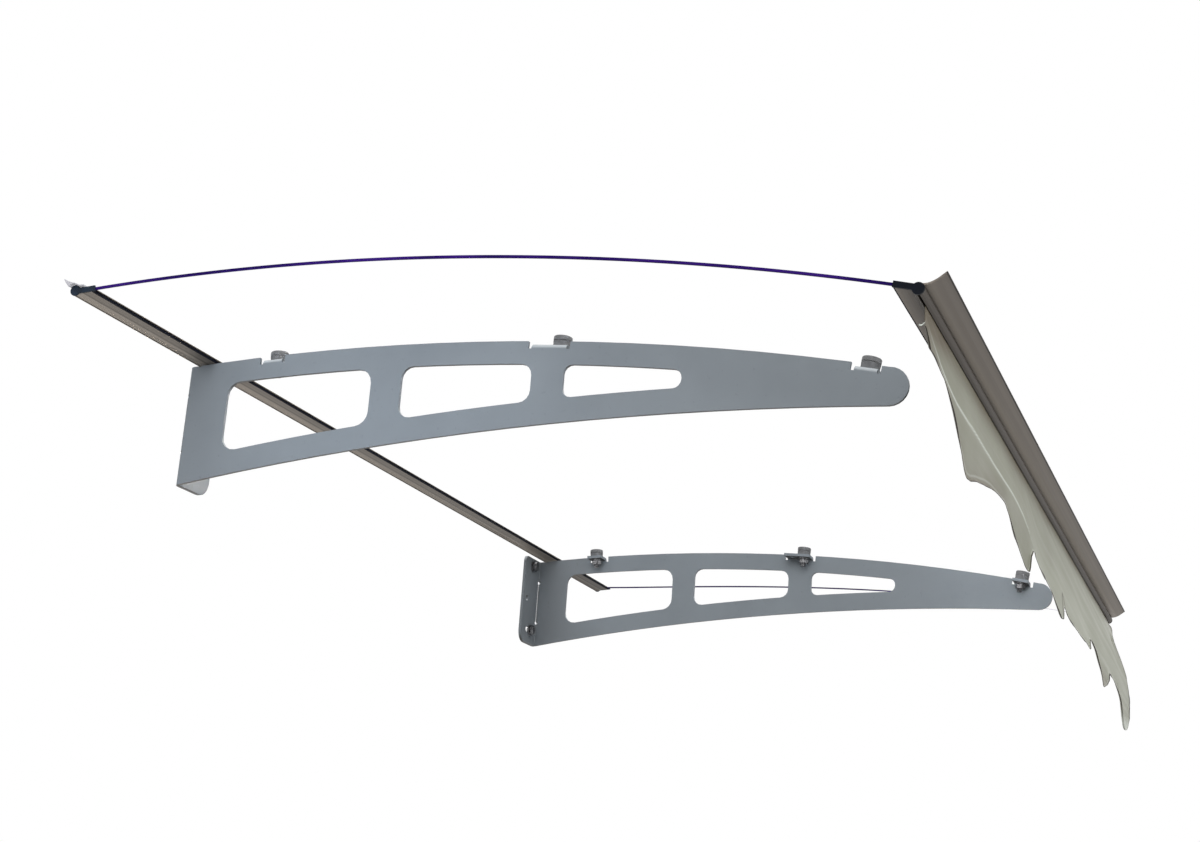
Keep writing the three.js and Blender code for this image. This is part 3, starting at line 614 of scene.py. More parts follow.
# seal between the wall and the wall profile: a wedge that lies on the tube and thins out towards the wall
sealLip = {
    "halfLength": 753.7, "easing": 0.25,
    # outline in mm: along y, height
    "outline": [
        (-24.58, 9.29), (-23.39, 9.2), (-21.7, 9.1), (-20.13, 9.17), (-18.95, 9.51), (-17.88, 10.02),
        (-16.7, 10.53), (-15.38, 10.96), (-13.94, 11.95), (-12.6, 12.0), (-11.2, 11.85), (-9.9, 11.3),
        (-8.6, 10.5), (-7.4, 9.4), (-6.6, 9.3), (-5.4, 10.5), (-3.6, 12.7), (-1.7, 15.1), (-0.35, 16.9),
        (-0.85, 17.58), (-2.27, 16.79), (-4.21, 15.73), (-6.19, 14.81), (-8.25, 14.15), (-10.5, 13.58),
        (-12.61, 13.04), (-14.28, 12.55), (-15.74, 12.11), (-17.09, 11.66), (-18.41, 11.09), (-19.41, 10.62),
        (-20.32, 10.35), (-21.67, 10.3), (-23.29, 10.4), (-24.54, 10.49),
    ],
}


def addSealLip():
    bm = bmesh.new()
    half = sealLip["halfLength"] * mm
    ring = [bm.verts.new((-half, y * mm, z * mm)) for y, z in sealLip["outline"]]
    end = bm.faces.new(ring)
    swept = bmesh.ops.extrude_face_region(bm, geom=[end], use_keep_orig=True)["geom"]
    farEnd = [v for v in swept if isinstance(v, bmesh.types.BMVert)]
    bmesh.ops.translate(bm, vec=(2 * half, 0, 0), verts=farEnd)
    bmesh.ops.recalc_face_normals(bm, faces=bm.faces[:])
    endRims = [e for e in bm.edges if abs(e.verts[0].co.x - e.verts[1].co.x) < mm]
    easeEdges(bm, endRims, sealLip["easing"])
    newPiece("wedge_seal_lip", bm, [finishes["paleSeal"]], "wall_seal_lip")


addSealLip()
print("seal laid")


# rows of fixings out from the wall, in mm, and how far to each side they are
fixingRows = {"rear": 105, "middle": 444, "front": 772}
fixingX = 500.5

# roof sheet, in mm: drilled flat, bent to its arch; clear faces, dark sawn edges along both sides
roofSheet = {
    "width": 1495.4, "thickness": 2.4, "strips": 64, "wallY": -19.45, "frontY": -862.9,
    "crownOut": 279, "crownRise": 13.9, "lift": 3,
    "rim": 3.0, "farRim": 13.5, "farRimFrom": -600.0, "farRimTo": -745.0, "sawnWidth": 0.01,
    # the free far edge hangs a little between the two profiles, which hold a share of its length at each end
    "sag": 9.8, "sagSkew": 0.65, "sagPower": 1.3, "sagFrom": 520.0, "held": 0.02,
    "sagCuts": [560.0, 600.0, 640.0, 680.0, 715.0], "cutMerge": 0.01,
    "holeRadius": 4.5, "holeSegments": 32,
}


def archRadius(crownOut, rise):
    return (crownOut ** 2 + rise ** 2) / (2 * rise)


def addRoofSheet():
    rise, crown = roofSheet["crownRise"], roofSheet["crownOut"]
    radius = archRadius(crown, rise)
    centreZ = roofSheet["lift"] + rise - radius
    centreLine = radius + roofSheet["thickness"] / 2

    def flatPlace(y):
        return radius * math.asin((y + crown) / centreLine)

    high, low = flatPlace(roofSheet["wallY"]), flatPlace(roofSheet["frontY"])
    half = roofSheet["width"] / 2
    bm = bmesh.new()
    outline = ((-half, low), (half, low), (half, high), (-half, high))
    corners = [bm.verts.new((x * mm, y * mm, 0)) for x, y in outline]
    for pair in zip(corners, corners[1:] + corners[:1]):
        bm.edges.new(pair)
    for out in fixingRows.values():
        for hand in (-1, 1):
            centre = Matrix.Translation((hand * fixingX * mm, flatPlace(-out) * mm, 0))
            bmesh.ops.create_circle(bm, radius=roofSheet["holeRadius"] * mm, segments=roofSheet["holeSegments"],
                                    matrix=centre)
    bmesh.ops.triangle_fill(bm, use_beauty=True, edges=bm.edges[:])
    for i in range(1, roofSheet["strips"]):
        cutAcross(bm, yAxis, low + (high - low) * i / roofSheet["strips"], roofSheet["cutMerge"])
    rimCuts = [roofSheet["rim"] - half, half - roofSheet["farRim"], half - roofSheet["rim"]]
    for x in rimCuts + roofSheet["sagCuts"]:
        cutAcross(bm, xAxis, x, roofSheet["cutMerge"])
    paintedRimLayer = bm.verts.layers.float.new("sheetPaintedRim")
    raised = bmesh.ops.extrude_face_region(bm, geom=bm.faces[:])["geom"]
    bmesh.ops.translate(bm, vec=(0, 0, roofSheet["thickness"] * mm),
                        verts=[v for v in raised if isinstance(v, bmesh.types.BMVert)])
    rimLength = roofSheet["farRimFrom"] - roofSheet["farRimTo"]
    held, sagWidth = roofSheet["held"], half - roofSheet["sagFrom"]
    for vert in bm.verts:
        x, y = vert.co.x / mm, vert.co.y / mm
        width, fade = roofSheet["rim"], 1.0
        if x > 0 and vert.co.z < roofSheet["thickness"] / 2 * mm:
            # the far rim's underside shows its painted dark band further in, except near the front
            width, fade = roofSheet["farRim"], soft((y - crown - roofSheet["farRimTo"]) / rimLength)
        vert[paintedRimLayer] = fade * max(0.0, 1 - (half - abs(x)) / width)
        free = soft((x - roofSheet["sagFrom"]) / sagWidth)
        along = ((high - y) / (high - low) - held) / (1 - 2 * held)
        middle = math.sin(math.pi * min(max(along, 0.0), 1.0) ** roofSheet["sagSkew"]) ** roofSheet["sagPower"]
        angle, reach = vert.co.y / (radius * mm), radius * mm + vert.co.z
        vert.co.y = -crown * mm + reach * math.sin(angle)
        vert.co.z = centreZ * mm + reach * math.cos(angle) - roofSheet["sag"] * free * middle * mm
    bmesh.ops.recalc_face_normals(bm, faces=bm.faces[:])
    sawnFrom = (half - roofSheet["sawnWidth"]) * mm
    for face in bm.faces:
        face.material_index = 1 if abs(face.calc_center_median().x) > sawnFrom else 0
    newPiece("clear_roof_sheet", bm, [finishes["clearSheet"], finishes["sheetEdge"]],
             "roof_sheet", weighted=False)


addRoofSheet()
print("roof sheet made")


# fixings, in mm: the node's place is kept, the small parts get rounder and threaded
fixing = {
    "topCrownOut": 273, "topCrownRise": 13.5, "tabTop": -2.5, "seat": 0.06, "steps": 40, "smoothBelow": 35.0,
    "capRadius": 10, "capHeight": 5.0, "capRound": 1.3, "capRoundSteps": 6, "capChamfer": 0.2, "paleBand": 0.05,
    # the dish in the cap's top: its depth, and the share of the radius and of the depth where it bends
    "capDish": 0.35, "dishBend": (0.55, 0.4), "headClear": 0.5, "headGap": 0.3,
    "spacerWaist": 0.35, "spacerRound": 0.3, "bore": 4.5,
    "boltRadius": 4, "headRadius": 7, "headHeight": 2, "headRound": 0.5, "tail": -19.7,
    # thread: depth of a tooth, and the shares of the pitch where its flanks and its crest end
    "threadFrom": -8.0, "pitch": 1.25, "tooth": 0.62, "flankFrom": 0.12, "crest": (0.48, 0.62),
    "threadSteps": 24, "threadMerge": 0.004, "merge": 0.001,
    # easing of the nuts, washers and screws
    "easing": 0.15,
}


def archHeight(crownOut, rise, lift, y):
    radius = archRadius(crownOut, rise)
    centre = lift + rise - radius
    return centre + math.sqrt(radius ** 2 - (y + crownOut) ** 2), math.asin((-crownOut - y) / radius)


# a fixing's place on its tab, and the height of the sheet's underside above that
def fixingPlace(hand, out):
    z, slope = archHeight(fixing["topCrownOut"], fixing["topCrownRise"], 0, -out)
    under = archHeight(roofSheet["crownOut"], roofSheet["crownRise"], roofSheet["lift"], -out)[0]
    place = Matrix.Translation((hand * fixingX * mm, -out * mm, z * mm)) @ Matrix.Rotation(slope, 4, "X")
    return place, (under - z) * math.cos(slope)


# a closed outline of (radius, height) in mm, turned about the z axis
def turnedShape(outline):
    bm = bmesh.new()
    verts = [bm.verts.new((r * mm, 0, z * mm)) for r, z in outline]
    ring = [bm.edges.new(pair) for pair in zip(verts, verts[1:] + verts[:1])]
    bmesh.ops.spin(bm, geom=verts + ring, cent=(0, 0, 0), axis=(0, 0, 1), angle=2 * math.pi,
                   steps=fixing["steps"], use_merge=True)
    bmesh.ops.remove_doubles(bm, verts=bm.verts[:], dist=fixing["merge"] * mm)
    bmesh.ops.dissolve_degenerate(bm, edges=bm.edges[:], dist=fixing["merge"] * mm)
    bmesh.ops.recalc_face_normals(bm, faces=bm.faces[:])
    return bm


def capOutline(low):
    top = low + fixing["capHeight"]
    radius, curve, chamfer = fixing["capRadius"], fixing["capRound"], fixing["capChamfer"]
    inner, ceiling = fixing["headRadius"] + fixing["headClear"], low + fixing["headHeight"] + fixing["headGap"]
    steps, (bendAt, bendDepth) = fixing["capRoundSteps"], fixing["dishBend"]
    rounded = [(radius - curve * (1 - math.cos(a)), top - curve * (1 - math.sin(a)))
               for a in [math.pi / 2 * i / steps for i in range(steps + 1)]]
    crown = [(radius * bendAt, top - fixing["capDish"] * bendDepth), (0, top - fixing["capDish"])]
    inside = [(0, ceiling), (inner, ceiling), (inner, low)]
    return inside + [(radius - chamfer, low), (radius, low + chamfer)] + rounded + crown


def spacerOutline(low, high):
    radius, curve, bore = fixing["capRadius"], fixing["spacerRound"], fixing["bore"]
    return [(bore, low), (radius - curve, low), (radius, low + curve),
            (radius - fixing["spacerWaist"], (low + high) / 2),
            (radius, high - curve), (radius - curve, high), (bore, high)]


# bolt: plain shank with a low head, then a rolled thread that runs out below the nut
def boltShape(head):
    radius, tooth, pitch = fixing["boltRadius"], fixing["tooth"], fixing["pitch"]
    start, end, around = fixing["threadFrom"], fixing["tail"], fixing["threadSteps"]
    headRadius, headTop, curve = fixing["headRadius"], head + fixing["headHeight"], fixing["headRound"]
    plain = turnedShape([(0, start), (radius, start), (radius, head), (headRadius, head),
                         (headRadius, headTop - curve), (headRadius - curve, headTop), (0, headTop)])
    turns = math.ceil((start - end) / pitch) + 2
    thread = bmesh.new()
    low, root, (crestFrom, crestTo) = end - pitch, radius - tooth, fixing["crest"]
    flank = [(root, low), (root, low + pitch * fixing["flankFrom"]), (radius, low + pitch * crestFrom),
             (radius, low + pitch * crestTo), (root, low + pitch)]
    verts = [thread.verts.new((r * mm, 0, z * mm)) for r, z in flank]
    edges = [thread.edges.new(pair) for pair in zip(verts, verts[1:])]
    bmesh.ops.spin(thread, geom=verts + edges, cent=(0, 0, 0), axis=(0, 0, 1),
                   dvec=(0, 0, pitch * mm / around), angle=2 * math.pi * turns, steps=around * turns)
    bmesh.ops.remove_doubles(thread, verts=thread.verts[:], dist=fixing["threadMerge"] * mm)
    for height, side in ((end, -1), (start, 1)):
        geometry = thread.verts[:] + thread.edges[:] + thread.faces[:]
        bmesh.ops.bisect_plane(thread, geom=geometry, plane_co=(0, 0, height * mm), plane_no=(0, 0, side),
                               clear_outer=True)
    bmesh.ops.holes_fill(thread, edges=[e for e in thread.edges if e.is_boundary], sides=0)
    bmesh.ops.recalc_face_normals(thread, faces=thread.faces[:])
    mesh = bpy.data.meshes.new("thread")
    thread.to_mesh(mesh)
    thread.free()
    plain.from_mesh(mesh)
    bpy.data.meshes.remove(mesh)
    return plain


def addFixings():
    for side, hand in (("left", -1), ("right", 1)):
        for row, out in fixingRows.items():
            place, under = fixingPlace(hand, out)
            over = under + roofSheet["thickness"] + fixing["seat"]
            cap = turnedShape(capOutline(over))
            for face in cap.faces:
                # the cap's lowest faces are painted pale against the shade in the narrow gap over the sheet
                face.material_index = 1 if face.calc_center_median().z < (over + fixing["paleBand"]) * mm else 0
            spacer = turnedShape(spacerOutline(fixing["tabTop"] + fixing["seat"], under - fixing["seat"]))
            shapes = {
                "cap": (cap, ["greyPlastic", "paleUnderCap"], "grey_plastic"),
                "spacer": (spacer, ["greyRubber"], "grey_rubber"),
                "bolt": (boltShape(over), ["zinc"], "zinc_steel"),
            }
            for part, (bm, looks, slot) in shapes.items():
                bmesh.ops.transform(bm, matrix=place, verts=bm.verts[:])
                node = f"{side}_{row}_{part}"
                newPiece("round_" + node, bm, [finishes[look] for look in looks], node,
                         smoothBelow=fixing["smoothBelow"])
            for part in ("washer", "nut"):
                addEased(f"{side}_{row}_{part}", "zinc", fixing["easing"])
        for level in ("upper", "lower"):
            for part in ("screw", "washer"):
                addEased(f"{side}_{level}_wall_{part}", "zinc", fixing["easing"])


addFixings()
print("fixings made")


# torn film: hangs from the groove under the front profile, swings outwards towards its far end
# lengths in mm; a place along the film is a share of its length, and a span says where it starts, over what
# share it comes in, where it ends and over what share it goes out
film = {
    "startX": -719.7, "length": 1455.4, "grooveY": -869.0, "grooveZ": -51.1, "topInGroove": 3.0,
    "thickness": 0.45, "columns": 460, "rows": 64, "edgeEase": 1.35,
    "leastDrop": 6.0, "ragged": 0.5, "nick": 9, "seed": 7,
    "swing": 0.26, "swingPower": 1.5, "kick": 5.0, "kickDepth": 15.0,
    # the long tail leans back to the near end, and the far side is drawn in below the profile
    "lean": 80.0, "leanFrom": 127.0, "leanReach": 63.0, "leanPower": 1.3,
    "tuck": 75.0, "tuckFrom": 0.9, "tuckOver": 0.1, "tuckAt": 42.0, "tuckWidth": 22.0,
    # ridge along the crease, then slack waves: height, turns along the length, start, turn with the drop
    "ridge": 5.0, "ridgeBelow": 60.0, "ridgeSpan": (0.05, 0.13, 0.36, 0.14),
    "wave": 0.9, "slackDepth": 60, "waves": [(1.0, 23, 0.0, 0.012), (0.6, 51, 1.3, -0.02)],
    # curl of the rims, uneven along the length
    "curl": 2.4, "curlWidth": 5.0, "curlVary": 0.4, "curlTurns": 87, "curlLift": 0.5, "sideDepth": 12,
    # painted highlights: the white line of the crease, and the pale line where the torn edge is turned over
    "white": 0.8, "creaseWidth": 1.3, "creaseSpan": (0.0, 0.06, 0.34, 0.08),
    "pale": 0.42, "paleIn": 3.2, "paleWidth": 1.0, "foldIn": 3.6, "foldSpan": (0.1, 0.03, 0.2, 0.06),
    # lighter towards the far end, and low down in the middle
    "far": 0.8, "farFrom": 0.35, "farOver": 0.5,
    "light": 0.4, "lightFrom": 50, "lightDepth": 40, "lightSpan": (0.38, 0.05, 0.7, 0.06),
    # torn rim painted dark as shade; the tip of the long tail is folded white
    "rimFrom": 0.5, "rimOver": 0.3, "tipFrom": 165, "tipDepth": 22, "tipWhite": 0.6, "tipClean": 0.7,
    # brown, in part dirt and in part painted shade: under the profile and below the crease
    "dirt": {
        "most": 0.95, "under": 0.9, "underDepth": 26, "underVary": 0.15, "underTurns": 40,
        "near": 0.5, "nearTo": 0.015, "nearOver": 0.08,
        "tear": 0.95, "tearDepth": 7, "tearSpan": (0.06, 0.06, 0.24, 0.08),
        "below": 0.14, "belowDepth": 14, "belowTo": 0.3, "belowOver": 0.12,
        "tail": 0.12, "tailFrom": 120, "tailDepth": 50,
        "prong": 0.4, "prongFrom": 112, "prongDepth": 25, "prongSpan": (0.74, 0.02, 0.785, 0.03),
        "flap": 0.3,
    },
    "scrap": {
        "x": -719.0, "y": -869.4, "z": -65.0, "reachX": -5.0, "reachY": 4.4, "fall": 2.6,
        "arch": -2.2, "archTurn": 0.75, "slant": 0.3, "width": 1.6, "steps": 12,
    },
    # torn edge: share of the length, drop in mm
    "tornEdge": [
        (0.0, 20), (0.008, 28.9), (0.0109, 35.5), (0.028, 35.9), (0.06, 39.9), (0.0679, 44.5),
        (0.0877, 58.7), (0.1065, 74.9), (0.119, 83.9), (0.1309, 96.3), (0.1359, 99.5), (0.1393, 100.5),
        (0.1478, 99.9), (0.1639, 94.3), (0.1917, 86.7), (0.2187, 80.9), (0.2357, 78.7), (0.256, 77.3),
        (0.2652, 77.5), (0.2692, 78.2), (0.2841, 85.6), (0.3007, 96.5), (0.3103, 100.3), (0.3305, 102.8),
        (0.3412, 105.2), (0.3512, 108.8), (0.3634, 114.6), (0.3711, 116.3), (0.3756, 115.7),
        (0.3799, 112.7), (0.382, 96.5), (0.3908, 87.5), (0.4, 86.5), (0.4071, 90.5), (0.43, 94.8),
        (0.4545, 97.8), (0.4629, 98.3), (0.4701, 97.5), (0.4842, 98.8), (0.496, 102), (0.501, 106.2),
        (0.5113, 115), (0.5231, 123.2), (0.5279, 125.4), (0.5342, 124.5), (0.5414, 122.3), (0.545, 118.5),
        (0.549, 115), (0.5525, 108), (0.5575, 104), (0.563, 104), (0.568, 107), (0.5729, 110.5),
        (0.5918, 113.4), (0.6049, 113.9), (0.6209, 112.7), (0.634, 112.9), (0.6482, 115.8), (0.6633, 117.1),
        (0.6732, 117.4), (0.68, 115.2), (0.7007, 114.8), (0.712, 116.4), (0.7182, 113.5), (0.72, 104.1),
        (0.7225, 100.6), (0.7304, 101.6), (0.7371, 105.5), (0.7463, 111.5), (0.7539, 127.5),
        (0.7623, 138.2), (0.766, 145.5), (0.7683, 157), (0.771, 157.6), (0.7756, 156.4), (0.7903, 149),
        (0.796, 143.5), (0.8024, 138.4), (0.807, 129.6), (0.8142, 124.9), (0.8358, 125.3), (0.8441, 124.5),
        (0.8549, 126.9), (0.8751, 143.1), (0.8812, 151.6), (0.8831, 160), (0.8842, 188.4), (0.8875, 198.2),
        (0.8926, 200.5), (0.9054, 197), (0.9168, 190.4), (0.9254, 179.6), (0.9337, 170.3), (0.94, 155.9),
        (0.9481, 142.4), (0.9619, 128.7), (0.9717, 119.5), (0.9848, 111), (1.0, 86),
    ],
    # flap folded back beside the middle tear: share of the length, drop in mm
    "flap": [
        (0.5455, 116), (0.5485, 104), (0.551, 92), (0.5565, 85), (0.562, 88), (0.566, 97), (0.5685, 107),
    ],
    "flapLine": 1.7,
    # crease where the film folds over on its way to the first tear: share of the length, drop in mm
    "crease": [
        (0.0, 8), (0.01, 12), (0.028, 21.4), (0.05, 30), (0.076, 37.8), (0.099, 43.4), (0.131, 47.4),
        (0.171, 49.2), (0.208, 49.6), (0.24, 52.6), (0.264, 54.8), (0.294, 55.6), (0.323, 56.8),
        (0.347, 60.6), (0.369, 67.4), (0.388, 75.6), (0.42, 90), (1.0, 200),
    ],
}


# 1 inside a span, soft at both its ends
def within(share, span):
    start, comeIn, end, goOut = span
    return soft((share - start) / comeIn) * (1 - soft((share - end) / goOut))


# where a point of the film hangs, how near it is to a rim, and its share of white, which is painted highlight
def filmPlace(share, drop, edge):
    lean = film["lean"] * max(0.0, (drop - film["leanFrom"]) / film["leanReach"]) ** film["leanPower"]
    drawnIn = soft((share - film["tuckFrom"]) / film["tuckOver"]) ** 2
    tuck = film["tuck"] * drawnIn * math.exp(-((drop - film["tuckAt"]) / film["tuckWidth"]) ** 2)
    x = film["startX"] + share * film["length"] - lean - tuck
    kick = film["kick"] * (1 - math.exp(-drop / film["kickDepth"]))
    y = film["grooveY"] - (film["swing"] * drop + kick) * share ** film["swingPower"]
    fold = between(film["crease"], share)
    above, below = drop / fold, 1 - (drop - fold) / film["ridgeBelow"]
    y -= film["ridge"] * within(share, film["ridgeSpan"]) * max(0.0, min(above, below))
    waves = sum(height * math.sin(share * turns + start + drop * slant)
                for height, turns, start, slant in film["waves"])
    y -= film["wave"] * soft(drop / film["slackDepth"]) * waves
    side = max(0.0, 1 - (1 - share) * film["length"] / film["curlWidth"]) * soft(drop / film["sideDepth"])
    rim = max(0.0, 1 - (edge - drop) / film["curlWidth"], side)
    uneven = 1 - film["curlVary"] + film["curlVary"] * math.sin(share * film["curlTurns"])
    y -= film["curl"] * rim ** 2 * uneven
    z = film["grooveZ"] - drop + film["curl"] * film["curlLift"] * rim ** 3
    # painted highlight along the crease and along the turned-over torn edge
    white = within(share, film["creaseSpan"]) * math.exp(-((drop - fold) / film["creaseWidth"]) ** 2)
    turnedIn = film["paleIn"] + film["foldIn"] * within(share, film["foldSpan"])
    pale = film["pale"] * math.exp(-((edge - drop - turnedIn) / film["paleWidth"]) ** 2)
    return Vector((x * mm, y * mm, z * mm)), rim, max(white, pale)


# distance in mm from the outline of the folded flap
def flapDistance(share, drop):
    place = Vector((share * film["length"], drop))
    outline = [Vector((s * film["length"], d)) for s, d in film["flap"]]
    nearest = math.inf
    for start, end in zip(outline, outline[1:]):
        run = end - start
        part = min(max((place - start).dot(run) / run.length_squared, 0.0), 1.0)
        nearest = min(nearest, (place - start - run * part).length)
    return nearest


# share of brown: under the profile, dirt and painted shade from the profile, at the near end, along the first
# tear, below the crease, where it is painted shade, on the long tail, on the prong before it and in the folded
# flap
def filmDirtAndShade(share, drop, edge):
    dirt = film["dirt"]
    uneven = 1 - dirt["underVary"] + dirt["underVary"] * math.sin(share * dirt["underTurns"])
    # dirt and painted shade just under the profile
    under = dirt["under"] * (1 - soft(drop / dirt["underDepth"])) * uneven
    near = dirt["near"] * (1 - soft((share - dirt["nearTo"]) / dirt["nearOver"]))
    tear = dirt["tear"] * math.exp(-(edge - drop) / dirt["tearDepth"]) * within(share, dirt["tearSpan"])
    # painted shade below the crease
    low = soft((drop - between(film["crease"], share)) / dirt["belowDepth"])
    below = dirt["below"] * low * (1 - soft((share - dirt["belowTo"]) / dirt["belowOver"]))
    tail = dirt["tail"] * soft((drop - dirt["tailFrom"]) / dirt["tailDepth"])
    hanging = soft((drop - dirt["prongFrom"]) / dirt["prongDepth"])
    prong = dirt["prong"] * hanging * within(share, dirt["prongSpan"])
    inFlap = film["flap"][0][0] < share < film["flap"][-1][0] and drop > between(film["flap"], share)
    flap = dirt["flap"] if inFlap else 0
    return min(dirt["most"], under + near + tear + below + tail + prong + flap)


# small strip torn loose at the near end, curling back towards the wall
def addScrap(bm, whiteAndHighlightLayer):
    scrap = film["scrap"]
    start = len(bm.verts)
    bmesh.ops.create_grid(bm, x_segments=scrap["steps"], y_segments=2, size=0.5)
    bm.verts.ensure_lookup_table()
    for vert in bm.verts[start:]:
        along, across = vert.co.x + 0.5, vert.co.y * scrap["width"]
        bend = math.sin(along * math.pi * scrap["archTurn"])
        vert.co = Vector((
            scrap["x"] + scrap["reachX"] * along + across * scrap["slant"],
            scrap["y"] + scrap["reachY"] * along,
            scrap["z"] - scrap["fall"] * along + scrap["arch"] * bend + across,
        )) * mm
        vert[whiteAndHighlightLayer] = 1.0


def addFilm():
    random.seed(film["seed"])
    shares = [i / film["columns"] for i in range(film["columns"] + 1)]
    nicks = [random.uniform(-1, 1) for i in range(film["columns"] // film["nick"] + 2)]
    edges = []
    for i, share in enumerate(shares):
        first, part = divmod(i, film["nick"])
        nick = nicks[first] + (nicks[first + 1] - nicks[first]) * part / film["nick"]
        edges.append(max(film["leastDrop"], between(film["tornEdge"], share) + film["ragged"] * nick))
    bm = bmesh.new()
    bmesh.ops.create_grid(bm, x_segments=film["columns"], y_segments=film["rows"], size=0.5)
    dirtAndShadeLayer = bm.verts.layers.float.new("filmDirtAndShade")
    paintedRimLayer = bm.verts.layers.float.new("filmRimShade")
    whiteAndHighlightLayer = bm.verts.layers.float.new("filmWhiteAndHighlight")
    farLayer = bm.verts.layers.float.new("filmFar")
    alongLayer = bm.verts.layers.float_vector.new("filmAlong")
    for vert in bm.verts:
        column = round((vert.co.x + 0.5) * film["columns"])
        down = 1 - (vert.co.y + 0.5)
        share, edge = shares[column], edges[column]
        drop = -film["topInGroove"] + (edge + film["topInGroove"]) * (1 - (1 - down) ** film["edgeEase"])
        place, rim, white = filmPlace(share, max(drop, 0.0), edge)
        place.z -= min(drop, 0.0) * mm
        vert.co = place
        vert[dirtAndShadeLayer] = filmDirtAndShade(share, drop, edge)
        low = soft((drop - film["lightFrom"]) / film["lightDepth"])
        light = film["light"] * low * within(share, film["lightSpan"])
        far = film["far"] * soft((share - film["farFrom"]) / film["farOver"])
        vert[farLayer] = min(1.0, far + light)
        vert[alongLayer] = (share * film["length"] * mm, (drop - between(film["crease"], share)) * mm, 0)
        tip = soft((drop - film["tipFrom"]) / film["tipDepth"])
        # painted shade along the curled torn rim and around the folded flap
        dark = soft((rim - film["rimFrom"]) / film["rimOver"]) * (1 - film["tipClean"] * tip)
        flap = math.exp(-(flapDistance(share, drop) / film["flapLine"]) ** 2)
        vert[paintedRimLayer] = max(dark, flap)
        vert[whiteAndHighlightLayer] = max(film["white"] * white, film["tipWhite"] * tip)
    addScrap(bm, whiteAndHighlightLayer)
    piece = newPiece("hanging_torn_film", bm, [finishes["film"]], "torn_film",
                     smoothBelow=180.0, weighted=False)
    wall = piece.modifiers.new("film thickness", "SOLIDIFY")
    wall.thickness = film["thickness"] * mm
    wall.offset = 0


addFilm()
print("film hung")


# stage: pale floor far below, white surroundings, soft lamps
studio = {
    "floorY": -0.4, "floorZ": -2.2, "floorRadius": 9.0, "floorSides": 96,
    # the floor as it is shown, and as it throws light back
    "floorTone": "#EDEDEB", "floorShade": "#3E3E3C",
    "paleness": 0.45, "fadeFrom": 3.5, "fadeTo": 8.5,
    "skyTone": "#FFFFFF", "lightAbove": 0.85, "lightBelow": 0.45,
    # lamps: place, aim and size in metres, watts, spread in degrees, tone
    "lamps": [
        # from the left, from the right and behind, from the front
        ((-6.0, -1.6, 2.8), (0, -0.4, 0), 5.0, 135, 180, "#FFFFFF"),
        ((6.0, 0.8, 2.5), (0, -0.4, 0), 5.0, 80, 180, "#FFFFFF"),
        ((-0.9, -2.8, -0.3), (-0.2, -0.2, -0.15), 1.8, 22, 180, "#FFFFFF"),
        # low, at the near wall flange, at the far bracket's tip and at the near bracket's rails
        ((-0.35, -1.6, -0.45), (-0.49, 0.0, -0.2), 0.2, 0.33, 18, "#FFF0E2"),
        ((-0.35, -0.45, -0.35), (0.516, -0.77, -0.05), 0.2, 0.06, 24, "#FFFFFF"),
        ((-2.2, -0.5, -1.0), (-0.516, -0.24, -0.08), 0.4, 0.2, 20, "#DDEBFF"),
    ],
}


# 1 for the rays that show the stage: seen straight, mirrored or through the sheet
def seenRays(tree):
    path = addNode(tree, "ShaderNodeLightPath")
    seen = addNode(tree, "ShaderNodeMath", {
        0: path.outputs["Is Camera Ray"], 1: path.outputs["Is Glossy Ray"],
    }, operation="MAXIMUM")
    through = addNode(tree, "ShaderNodeMath", {
        0: seen.outputs[0], 1: path.outputs["Is Transmission Ray"],
    }, operation="MAXIMUM")
    return through.outputs[0]


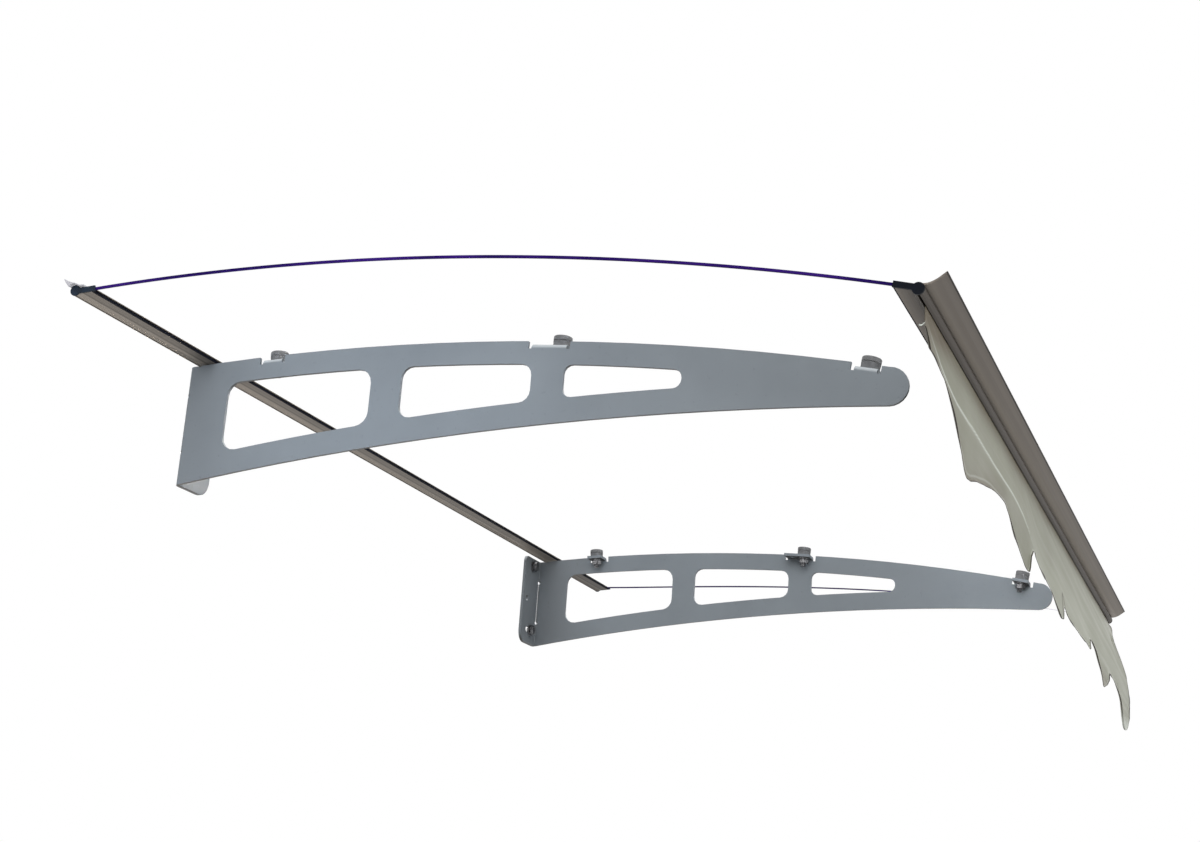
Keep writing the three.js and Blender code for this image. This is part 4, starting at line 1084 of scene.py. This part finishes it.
def addFloor():
    material, tree, place = newMaterial("pale matt floor")
    cloud = addNode(tree, "ShaderNodeTexNoise", {"Vector": place, "Scale": 0.6, "Detail": 2.0})
    rough = addNode(tree, "ShaderNodeMapRange", {
        "Value": cloud.outputs["Fac"], "To Min": 0.8, "To Max": 0.95,
    })
    tone = addNode(tree, "ShaderNodeMix", {
        "Factor": seenRays(tree), 6: srgb(studio["floorShade"]), 7: srgb(studio["floorTone"]),
    }, data_type="RGBA")
    shaded = addNode(tree, "ShaderNodeBsdfPrincipled", {
        "Base Color": tone.outputs[2], "Roughness": rough.outputs["Result"],
    })
    away = addNode(tree, "ShaderNodeVectorMath", {0: place}, operation="LENGTH")
    fade = addNode(tree, "ShaderNodeMapRange", {
        "Value": away.outputs["Value"], "From Min": studio["fadeFrom"], "From Max": studio["fadeTo"],
        "To Min": studio["paleness"],
    })
    shown = addNode(tree, "ShaderNodeMath", {
        0: seenRays(tree), 1: fade.outputs["Result"],
    }, operation="MULTIPLY")
    white = addNode(tree, "ShaderNodeEmission", {"Color": (1, 1, 1, 1), "Strength": 1.0})
    shader = addNode(tree, "ShaderNodeMixShader", {
        "Fac": shown.outputs[0], 1: shaded.outputs[0], 2: white.outputs[0],
    })
    finishMaterial(material, shader)
    bm = bmesh.new()
    bmesh.ops.create_circle(bm, cap_ends=True, radius=studio["floorRadius"], segments=studio["floorSides"])
    bmesh.ops.translate(bm, vec=(0, studio["floorY"], studio["floorZ"]), verts=bm.verts[:])
    mesh = bpy.data.meshes.new("floor")
    bm.to_mesh(mesh)
    bm.free()
    mesh.materials.append(material)
    floor = bpy.data.objects.new("floor", mesh)
    scene.collection.objects.link(floor)


def addSurroundings():
    world = bpy.data.worlds.new("white surroundings")
    world.use_nodes = True
    tree = world.node_tree
    tree.nodes.clear()
    towards = addNode(tree, "ShaderNodeTexCoord").outputs["Generated"]
    height = addNode(tree, "ShaderNodeSeparateXYZ", {"Vector": towards}).outputs["Z"]
    strength = addNode(tree, "ShaderNodeMapRange", {
        "Value": height, "From Min": -1.0, "From Max": 1.0,
        "To Min": studio["lightBelow"], "To Max": studio["lightAbove"],
    })
    light = addNode(tree, "ShaderNodeBackground", {
        "Color": srgb(studio["skyTone"]), "Strength": strength.outputs["Result"],
    })
    white = addNode(tree, "ShaderNodeBackground", {"Color": (1, 1, 1, 1), "Strength": 1.0})
    both = addNode(tree, "ShaderNodeMixShader", {
        "Fac": seenRays(tree), 1: light.outputs[0], 2: white.outputs[0],
    })
    addNode(tree, "ShaderNodeOutputWorld", {"Surface": both.outputs[0]})
    scene.world = world


def addLamps():
    for i, (place, aim, size, watts, spread, tone) in enumerate(studio["lamps"]):
        data = bpy.data.lights.new(f"soft lamp {i + 1}", "AREA")
        data.shape = "DISK"
        data.size = size
        data.energy = watts
        data.color = srgb(tone)[:3]
        data.spread = math.radians(spread)
        lamp = bpy.data.objects.new(data.name, data)
        turn = (Vector(aim) - Vector(place)).to_track_quat("-Z", "Y")
        lamp.matrix_world = Matrix.Translation(place) @ turn.to_matrix().to_4x4()
        lamp.visible_camera = False
        lamp.visible_transmission = False
        scene.collection.objects.link(lamp)


addFloor()
addSurroundings()
addLamps()
print("stage lit")
